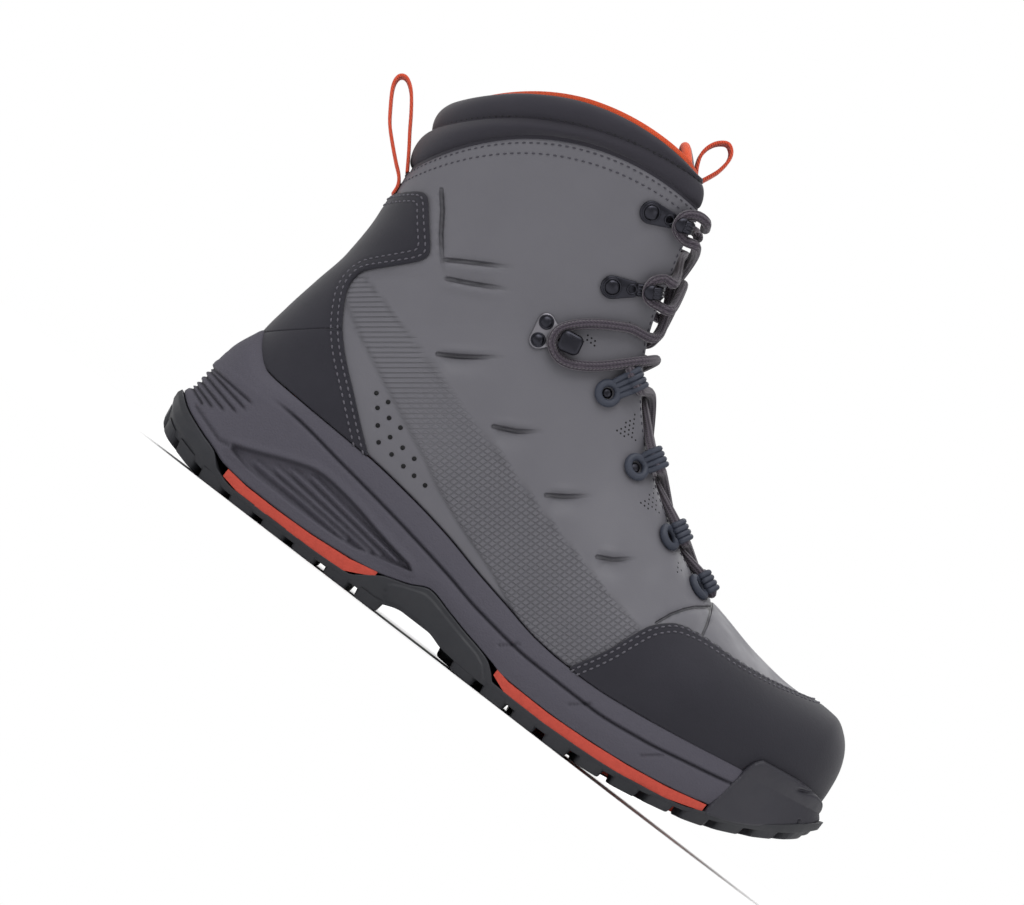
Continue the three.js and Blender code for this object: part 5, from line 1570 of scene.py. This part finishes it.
SIDE_RECESS = soften([
    [30, 18.3], [41.7, 22.4], [53.3, 27.4], [65, 31.6], [72.5, 32.2], [88, 30.3], [105, 26.6],
    [125, 23.5], [115, 20.8], [105, 17.8], [95, 15], [70, 14.5], [45, 14.8],
], 1, closed=True)
RECESS_RIBS = [
    [[64, 29], [82, 26.6], [95, 25], [115, 22.6]],
    [[56, 26], [78, 23.7], [99, 21.2], [108, 20]],
    [[50, 22.6], [74, 20.6], [95, 19.1], [104, 18.2]],
    [[42, 19.3], [70, 18.2], [93, 16.6]],
]
NICKS = [
    [[170, 20.5], [176, 26]], [[207, 18.5], [214, 24.5]], [[243, 20], [250, 25.5]],
]


def plan_stations(count):
    """Shares of the way from heel tip to toe tip, evenly spaced round the outline."""
    dense = LENGTH * (1 - np.cos(np.linspace(0, PI, 3000))) / 2
    half = plan_half(dense, LATERAL, 0, LENGTH, 0)
    reached = np.concatenate([[0], np.cumsum(np.hypot(np.diff(dense), np.diff(half)))])
    return np.interp(np.linspace(0, reached[-1], count), reached, dense) / LENGTH


def ring_plan(heel, toe, inset, stations):
    """Plan points of one ring: lateral side heel to toe, then medial side toe to heel."""
    x = heel + stations * (toe - heel)
    lateral = np.stack([x, -plan_half(x, LATERAL, heel, toe, inset)], axis=1)
    medial = np.stack([x, plan_half(x, MEDIAL, heel, toe, inset)], axis=1)
    return np.vstack([lateral, medial[-2:0:-1]])


def ring_stack(rings):
    """Closed solid from rings that follow each other round a closed profile."""
    levels, size = len(rings), len(rings[0])
    i, j = np.meshgrid(np.arange(levels), np.arange(size), indexing="ij")
    a, b = i * size + j, i * size + (j + 1) % size
    c, d = ((i + 1) % levels) * size + j, ((i + 1) % levels) * size + (j + 1) % size
    faces = np.vstack([np.stack([a, b, c], -1).reshape(-1, 3), np.stack([b, d, c], -1).reshape(-1, 3)])
    points = np.vstack(rings)
    return points, outward(points, faces)


def wall_normals(rings):
    """Horizontal outward directions of a stack of rings."""
    grid = np.stack(rings)
    ahead, behind = np.roll(grid, -1, axis=1), np.roll(grid, 1, axis=1)
    tangent = ahead - behind
    out = np.stack([tangent[..., 1], -tangent[..., 0], np.zeros(grid.shape[:2])], axis=-1)
    return unit(out)


# Relief of the midsole's wall: depths and widths of its moulded lines.
GROOVE_DEPTH, GROOVE_WIDTH = 1.25, 0.75
HEEL_DEPTH, HEEL_WIDTH = 1.5, 0.62
WRAP_DEPTH, WRAP_WIDTH = 0.9, 0.8
RECESS_DEPTH, RECESS_LIP = 2.6, 0.7
RIB_RISE, RIB_WIDTH = 1.9, 1.05
NICK_DEPTH, NICK_WIDTH = 0.7, 0.6


def midsole_relief(x, z):
    """Moulded relief of the midsole's wall, and its painted shade: darker in its grooves, beside its ribs
    and along the top edge of its recess.
    """
    crease = height_at(MIDSOLE_CREASE, x)
    run = smoothstep(32, 48, x) * smoothstep(286, 276, x)
    height = -GROOVE_DEPTH * run * bump_line(z - crease, GROOVE_WIDTH)
    shade = 0.9 * run * bump_line(z - crease, 0.6)
    for line in HEEL_GROOVES:
        far, share, _ = polyline_distance(line, x, z)
        fade = smoothstep(1, 0.86, share)
        height -= HEEL_DEPTH * fade * bump_line(far, HEEL_WIDTH)
        shade += 0.6 * fade * bump_line(far, 0.55)
    far, _, _ = polyline_distance(WRAP_STEP, x, z)
    height -= WRAP_DEPTH * bump_line(far, WRAP_WIDTH)
    shade += 0.5 * bump_line(far, 0.6)
    depth = outline_depth(SIDE_RECESS, x, z)
    upper_edge = smoothstep(-6, 3, z - np.interp(x, (30, 65, 125), (14, 24, 20)))
    inside = smoothstep(-0.3, 0.8, depth)
    height -= RECESS_DEPTH * inside
    for line in RECESS_RIBS:
        far, share, _ = polyline_distance(line, x, z)
        fade = inside * smoothstep(0, 0.1, share)
        height += RIB_RISE * fade * bump_line(far, RIB_WIDTH)
        shade += 0.35 * fade * bump_line(far - 1.9, 0.6)
    lip = smoothstep(-4.2, -0.9, depth) * smoothstep(0.1, -0.9, depth)
    height += RECESS_LIP * upper_edge * lip
    shade += 0.75 * upper_edge * bump_line(depth, 0.7)
    for line in NICKS:
        far, _, _ = polyline_distance(line, x, z)
        height -= NICK_DEPTH * bump_line(far, NICK_WIDTH)
        shade += 0.3 * bump_line(far, NICK_WIDTH)
    return height, np.clip(shade, 0, 0.95)


def make_midsole():
    stations = plan_stations(330)
    rings = []
    for level in MIDSOLE_LEVELS:
        setback = float(follow(MIDSOLE_WALL, level, 1))
        inset = float(follow(MIDSOLE_WALL, level, 2))
        plan = ring_plan(setback, MIDSOLE_TOE, inset, stations)
        x = plan[:, 0]
        bottom, top = height_at(MIDSOLE_BOTTOM, x), height_at(FEATHER, x)
        crease = np.minimum(height_at(MIDSOLE_CREASE, x), top - 3)
        middle = lambda share: bottom + share * (crease - bottom)
        heights = [bottom, middle(0.5), middle(0.93), crease, crease + 0.25 * (top - crease), top]
        k = min(4, int(level))
        z = heights[k] + (level - k) * (heights[k + 1] - heights[k])
        rings.append(np.column_stack([plan, z]))
    grid = np.stack(rings)
    height, shade = midsole_relief(grid[..., 0], grid[..., 2])
    edge = np.zeros(len(rings))
    edge[-1], edge[-2], edge[0] = 0.7, 0.18, 0.4
    grid = grid + wall_normals(rings) * (height - edge[:, None])[..., None]
    outer = list(grid)
    inner = []
    for heel, setback, inset, table, rise in MIDSOLE_INSIDE:
        plan = ring_plan(heel + setback, MIDSOLE_TOE - setback, inset, stations)
        inner.append(np.column_stack([plan, height_at(table, plan[:, 0]) + rise]))
    points, faces = ring_stack(outer + inner)
    piece = add_mesh("midsole_foam", points, faces, FOAM, ["midsole"])
    # Painted shade of the wall, carried by the crease attribute.
    shades = np.zeros(len(points))
    shades[:shade.size] = shade.ravel()
    set_attribute(piece, "crease", shades)


SOLE_BOTTOM = [
    [0, 0.26], [0.015, 0.14], [0.03, 0.09], [0.049, 0.056], [0.069, 0.024], [0.092, 0],
    [0.36, 0], [0.4, 0.07], [0.44, 0.07], [0.47, 0.024], [0.53, 0], [0.65, 0], [0.677, 0.016],
    [0.708, 0.034], [0.738, 0.058], [0.769, 0.092], [0.8, 0.134], [0.831, 0.18], [0.862, 0.24],
    [0.905, 0.356], [0.938, 0.466], [0.97, 0.598], [1, 0.76],
]
SHANK_RISE = 0.6
LUG_DEPTH = 3.6
# Drops below the plate and insets of a lug's rings.
LUG_LEVELS = [(-1.5, 0), (LUG_DEPTH - 0.8, 0.9), (LUG_DEPTH - 0.25, 1.2), (LUG_DEPTH, 1.7)]
LUG_PITCH = 16.5
LUG_GAP = 3.4
LUG_REACH = 16
LUG_STAGGER = 3
ARCH_START, ARCH_END = 0.37, 0.47
# Rings inside the wall: inset, side-view edge, rise over it. The last four are the plate.
OUTSOLE_INSIDE = [
    [1.2, OUTSOLE_TOP, 0.3], [9.6, OUTSOLE_TOP, 0.3], [10.4, OUTSOLE_TOP, 4.5], [40, OUTSOLE_TOP, 4.5],
    [38, SOLE_BOTTOM, LUG_DEPTH], [20, SOLE_BOTTOM, LUG_DEPTH], [8, SOLE_BOTTOM, LUG_DEPTH],
    [2.4, SOLE_BOTTOM, LUG_DEPTH],
]
# Inner lugs: place along LENGTH, place over BALL_WIDTH, half length and half width.
INNER_LUGS = [
    [0.13, 0, 6, 5], [0.19, 0.07, 7, 5], [0.19, -0.07, 7, 5], [0.25, 0, 7, 5],
    [0.31, 0.07, 7, 5], [0.31, -0.07, 7, 5], [0.485, 0.09, 7, 5], [0.485, -0.11, 7, 5],
    [0.54, 0, 7, 6], [0.54, 0.16, 6, 5], [0.54, -0.18, 6, 5],
]


def plan_point(share, side, inset):
    """Plan point at a share of the way to the toe, an inset in from the outline."""
    x = inset + share * (LENGTH - 1 - 2 * inset)
    return np.stack([x, side * plan_half(x, side, inset, LENGTH - 1 - inset, inset)], axis=-1)


def lug_mesh(outline):
    """A tread lug with drafted sides and a soft edge, from its outline in plan."""
    outline = soften(outline, 1, closed=True)
    centre = outline.mean(axis=0)
    levels = []
    for drop, shrink in LUG_LEVELS:
        out = unit(outline - centre)
        plan = outline - out * shrink
        z = height_at(SOLE_BOTTOM, plan[:, 0]) + LUG_DEPTH - drop
        levels.append(np.column_stack([plan, z]))
    size = len(outline)
    points = np.vstack(levels + [levels[-1].mean(axis=0)[None]])
    faces = []
    for k in range(len(levels) - 1):
        for j in range(size):
            a, b = k * size + j, k * size + (j + 1) % size
            faces += [[a, a + size, b], [b, a + size, b + size]]
    start, last = (len(levels) - 1) * size, len(levels) * size
    for j in range(size):
        faces.append([last, start + (j + 1) % size, start + j])
    return points, np.array(faces)


def lug_outlines():
    """Edge lugs all round, then the inner lugs of heel and forefoot."""
    dense = np.linspace(0, 1, 1200)
    for side in SIDES:
        edge = plan_point(dense, side, 0)
        reached = np.concatenate([[0], np.cumsum(np.linalg.norm(np.diff(edge, axis=0), axis=1))])
        count = int(reached[-1] / LUG_PITCH)
        for k in range(count):
            low = k * LUG_PITCH + LUG_GAP / 2
            high = low + LUG_PITCH - LUG_GAP
            x = np.interp((low + high) / 2, reached, edge[:, 0])
            if ARCH_START * LENGTH < x < ARCH_END * LENGTH:
                continue
            reach = LUG_REACH + (LUG_STAGGER if k % 2 else -LUG_STAGGER)
            turn = 2.6 if x > LENGTH / 2 else -1.6
            corners = (
                (low, 0.4), ((low + high) / 2, 0.4), (high, 0.4), (high + turn, reach / 2),
                (high + turn - 3, reach), (low + turn + 2, reach), (low + turn, reach / 2),
            )
            shares = [np.interp(at, reached, dense) for at, _ in corners]
            insets = [inset for _, inset in corners]
            yield np.array([plan_point(*place) for place in zip(shares, [side] * 7, insets)])
    for along, across, half_long, half_wide in INNER_LUGS:
        x, y = along * LENGTH, across * BALL_WIDTH
        shape = [(-1, -0.4), (-0.5, -1), (0.6, -1), (1, -0.2), (0.7, 0.9), (-0.5, 1)]
        yield np.array([[x + a * half_long, y + b * half_wide] for a, b in shape])


def make_outsole():
    """Side wall with its step lines, a plate under the boot and lugs below it."""
    stations = plan_stations(300)
    rings = []
    for level in np.linspace(0, 1, 26):
        inset = 0.6 - 0.6 * level + 0.7 * (1 - level) ** 3
        heel = np.interp(level, (0, 0.35, 0.75, 1), (2.2, -0.4, -0.7, 0.2))
        plan = ring_plan(heel, LENGTH - 1, inset, stations)
        x = plan[:, 0]
        low = height_at(SOLE_BOTTOM, x) + np.minimum(LUG_DEPTH, 0.5 * height_at(OUTSOLE_TOP, x))
        top = height_at(OUTSOLE_TOP, x)
        low = np.minimum(low, top - 0.4)
        rings.append(np.column_stack([plan, low + level * (top - low)]))
    grid = np.stack(rings)
    x, z = grid[..., 0], grid[..., 2]
    relief = SHANK_RISE * smoothstep(-0.3, 0.4, outline_depth(SHANK_PANEL, x, z))
    grid = grid + wall_normals(rings) * relief[..., None]
    rings = list(grid)
    for inset, table, rise in OUTSOLE_INSIDE:
        plan = ring_plan(inset, LENGTH - 1 - inset, inset, stations)
        rings.append(np.column_stack([plan, height_at(table, plan[:, 0]) + rise]))
    points, faces = merge([ring_stack(rings)] + [lug_mesh(outline) for outline in lug_outlines()])
    add_mesh("outsole_tread", points, faces, TREAD, ["outsole"])


SHANK_PANEL = soften([
    [118, 12], [121, 14.6], [130, 17.9], [134.2, 19.2], [145, 16.6], [155, 14.2], [168, 11.4],
    [173, 6], [176, 3], [150, 3], [143, 8], [127, 8.5], [122, 6],
], 1, closed=True)

# Toe rand: back and top border in the side view, with its raised lip and ribs.
RAND = soften([
    [278.6, 10], [278.6, 20], [279.4, 26.2], [280.2, 31.2], [281, 35.3], [282.5, 44.5],
    [285.8, 49.5], [293.3, 54.1], [300, 58.7], [305, 62], [310, 64.5], [316.3, 67.2], [332, 67.6],
    [332, 10],
], 1, closed=True)
RAND_RIBS = [
    [[302.5, 50.3], [308.3, 52.8], [315.4, 56.2], [320, 58.4], [332, 58.8]],
    [[303.3, 47.6], [309.2, 49.7], [314.2, 52.3], [321.7, 55.4], [332, 55.8]],
]
RAND_STAND = 4.2
RAND_DROP = 1.6
RAND_ARC = [[314.2, 38.7], [315.8, 34.5], [315.8, 29]]
RAND_HEX = [[332, 44], [322, 43.4], [318, 36], [321.5, 30], [332, 30]]


def make_rand():
    """Rubber bumper: the sole's wall carried up over the toe of the upper."""
    rows = even_rows(0, 7.2, 110)
    lower, upper = np.linspace(0, 1, 26), np.linspace(0, 1.25, 40)[1:]
    sides = []
    stand = np.full(len(rows), RAND_STAND)
    for side in SIDES:
        foot = offset(rows, np.zeros(len(rows)), side, stand)
        foot_x = LENGTH * column(rows, FOOT_X)
        x = foot_x + LENGTH - 1 - UPPER_TOE
        ring = np.stack([
            x, side * plan_half(x, side, 0, LENGTH - 1, -0.5), height_at(OUTSOLE_TOP, x) - RAND_DROP,
        ], axis=1)
        low = ring[:, None] + (foot - ring)[:, None] * lower[None, :, None]
        turned = [offset(rows, np.full(len(rows), turn), side, stand) for turn in upper]
        high = np.stack(turned, axis=1)
        sides.append(np.concatenate([low, high], axis=1))
    grid = np.concatenate([sides[0][::-1], sides[1][1:]])
    along = np.gradient(grid, axis=0)
    up = np.gradient(grid, axis=1)
    normals = unit(np.cross(up, along))
    if normals[len(rows), 5, 0] < 0:
        normals = -normals
    patch = {
        "points": grid.reshape(-1, 3),
        "normals": normals.reshape(-1, 3),
        "triangles": grid_triangles(*grid.shape[:2]),
    }
    x, _, z = patch["points"].T
    patch = clip(patch, outline_depth(RAND, x, z))
    x, _, z = patch["points"].T
    far = border_distance(patch, 5)
    rise = np.sqrt(1 - (1 - np.clip(far / 1.6, 0, 1)) ** 2)
    height = -1.5 * (1 - rise)
    lip_far, _, side = polyline_distance(RAND_RIBS[0], x, z)
    front = smoothstep(299, 306, x)
    height += 0.9 * front * np.where(side > 0, smoothstep(0, 1.4, lip_far), 0) - 0.35 * front
    for rib in RAND_RIBS:
        rib_far, share, _ = polyline_distance(rib, x, z)
        height -= 1.5 * smoothstep(0, 0.15, share) * bump_line(rib_far, 0.75)
    arc_far, _, _ = polyline_distance(RAND_ARC, x, z)
    height -= 1.2 * bump_line(arc_far, 0.7)
    hex_far, _, _ = polyline_distance(RAND_HEX, x, z)
    height -= 0.8 * bump_line(hex_far, 0.8)
    points, faces = thicken(patch, height, -2.2)
    add_mesh("toe_bumper", points, outward(points, faces), RUBBER, ["toe_rand"])


# Carried-over solids
def dress(node, material, bevel):
    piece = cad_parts[node]
    piece.data.materials.clear()
    piece.data.materials.append(material)
    piece.data.shade_smooth()
    modifier = piece.modifiers.new("edges", "BEVEL")
    modifier.width = bevel * MM
    modifier.segments = 2
    modifier.limit_method = "ANGLE"
    modifier.angle_limit = math.radians(35)
    piece.modifiers.new("smooth", "WEIGHTED_NORMAL").keep_sharp = True


def dress_solids():
    for node in ("outsole_core", "heel_stripe", "forefoot_stripe"):
        dress(node, ORANGE_RUBBER, 0.3)
    dress("insole", INSOLE, 0.4)


# Stage, light and camera
ROLL = math.radians(37.5)
CAMERA_FAR = 2200
CAMERA_HEIGHT = 26
VIEW_CENTRE = (126, 0, 88)
FRAME_WIDTH = 430
SENSOR = 36
AMBIENT = 0.5


def make_stage():
    mesh = bpy.data.meshes.new("floor")
    reach = 14
    corners = [(-reach, -reach, 0), (reach, -reach, 0), (reach, reach, 0), (-reach, reach, 0)]
    mesh.from_pydata(corners, [], [(0, 1, 2, 3)])
    floor = bpy.data.objects.new("floor", mesh)
    bpy.context.scene.collection.objects.link(floor)
    paper = Finish("paper", (247, 247, 247), 0.9, specular=0.1)
    paper.bump(paper.noise(30, 2), 0.1, 0.1)
    far = paper.add("ShaderNodeVectorMath", operation="LENGTH")
    paper.links.new(paper.place, far.inputs[0])
    glow = paper.add("ShaderNodeEmission")
    glow.inputs["Color"].default_value = (1, 1, 1, 1)
    mix = paper.add("ShaderNodeMixShader")
    paper.links.new(paper.ramp(far.outputs["Value"], 0.35, 0.9), mix.inputs[0])
    paper.links.new(paper.shader.outputs[0], mix.inputs[1])
    paper.links.new(glow.outputs[0], mix.inputs[2])
    paper.links.new(mix.outputs[0], paper.nodes["Material Output"].inputs["Surface"])
    mesh.materials.append(paper.material)
    world = bpy.data.worlds.new("studio")
    world.use_nodes = True
    nodes, links = world.node_tree.nodes, world.node_tree.links
    background = nodes["Background"]
    background.inputs["Color"].default_value = (1, 1, 1, 1)
    seen = nodes.new("ShaderNodeLightPath").outputs["Is Camera Ray"]
    strength = nodes.new("ShaderNodeMapRange")
    strength.inputs["To Min"].default_value = AMBIENT
    strength.inputs["To Max"].default_value = 1.0
    links.new(seen, strength.inputs["Value"])
    links.new(strength.outputs[0], background.inputs["Strength"])
    bpy.context.scene.world = world
    bpy.context.scene.view_settings.view_transform = "Standard"
    bpy.context.scene.view_settings.look = "None"


def add_light(name, place, size, power):
    light = bpy.data.lights.new(name, "AREA")
    light.shape = "RECTANGLE"
    light.size, light.size_y = size
    light.energy = power
    lamp = bpy.data.objects.new(name, light)
    bpy.context.scene.collection.objects.link(lamp)
    lamp.location = place
    toward = Vector((0, 0, 0.1)) - Vector(place)
    lamp.rotation_euler = toward.to_track_quat("-Z", "Y").to_euler()


def make_lights():
    add_light("key", (-0.7, -1.2, 1.5), (1.2, 1.2), 13)
    add_light("fill", (1.5, -1.1, 0.7), (1.4, 1.0), 5)
    add_light("back", (0.2, 1.5, 1.3), (1.4, 1.0), 12)
    sky = bpy.data.lights.new("sky", "SUN")
    sky.energy = 1.5
    sky.angle = math.radians(70)
    lamp = bpy.data.objects.new("sky", sky)
    bpy.context.scene.collection.objects.link(lamp)
    lamp.rotation_euler = (math.radians(14), math.radians(-10), 0)


def make_camera():
    camera_data = bpy.data.cameras.new("camera")
    camera_data.sensor_width = SENSOR
    camera_data.lens = SENSOR * CAMERA_FAR / FRAME_WIDTH
    camera_data.clip_end = 50
    camera = bpy.data.objects.new("camera", camera_data)
    bpy.context.scene.collection.objects.link(camera)
    target = Vector(to_row(VIEW_CENTRE))
    place = Vector((target.x, target.y - CAMERA_FAR * MM, CAMERA_HEIGHT * MM))
    forward = (target - place).normalized()
    level_up = Vector((1, 0, 0)).cross(forward)
    level_right = Vector((1, 0, 0))
    right = level_right * math.cos(ROLL) + level_up * math.sin(ROLL)
    up = level_up * math.cos(ROLL) - level_right * math.sin(ROLL)
    axes = Matrix((right, up, -forward)).transposed()
    camera.matrix_world = Matrix.Translation(place) @ axes.to_4x4()
    bpy.context.scene.camera = camera


make_camera()
make_stage()
make_lights()
dress_solids()
make_upper()
make_overlay("toe_cap_panel", TOE_CAP, 0, 12.6, 150, 96, "toe_cap", (1.7, 4.2))
make_overlay(
    "heel_counter_panel", HEEL_COUNTER, 13.6, QUARTER_TOP_ROW, 170, 90, "heel_counter", (1.9, 4.8)
)
make_midsole()
make_outsole()
make_rand()
make_drain_holes()
make_seam_stitches()
make_cuff()
make_cuff_tape()
make_lining()
make_tongue()
make_tongue_edge()
make_pull_loops()
make_lace_loops()
make_hooks()
make_lace()

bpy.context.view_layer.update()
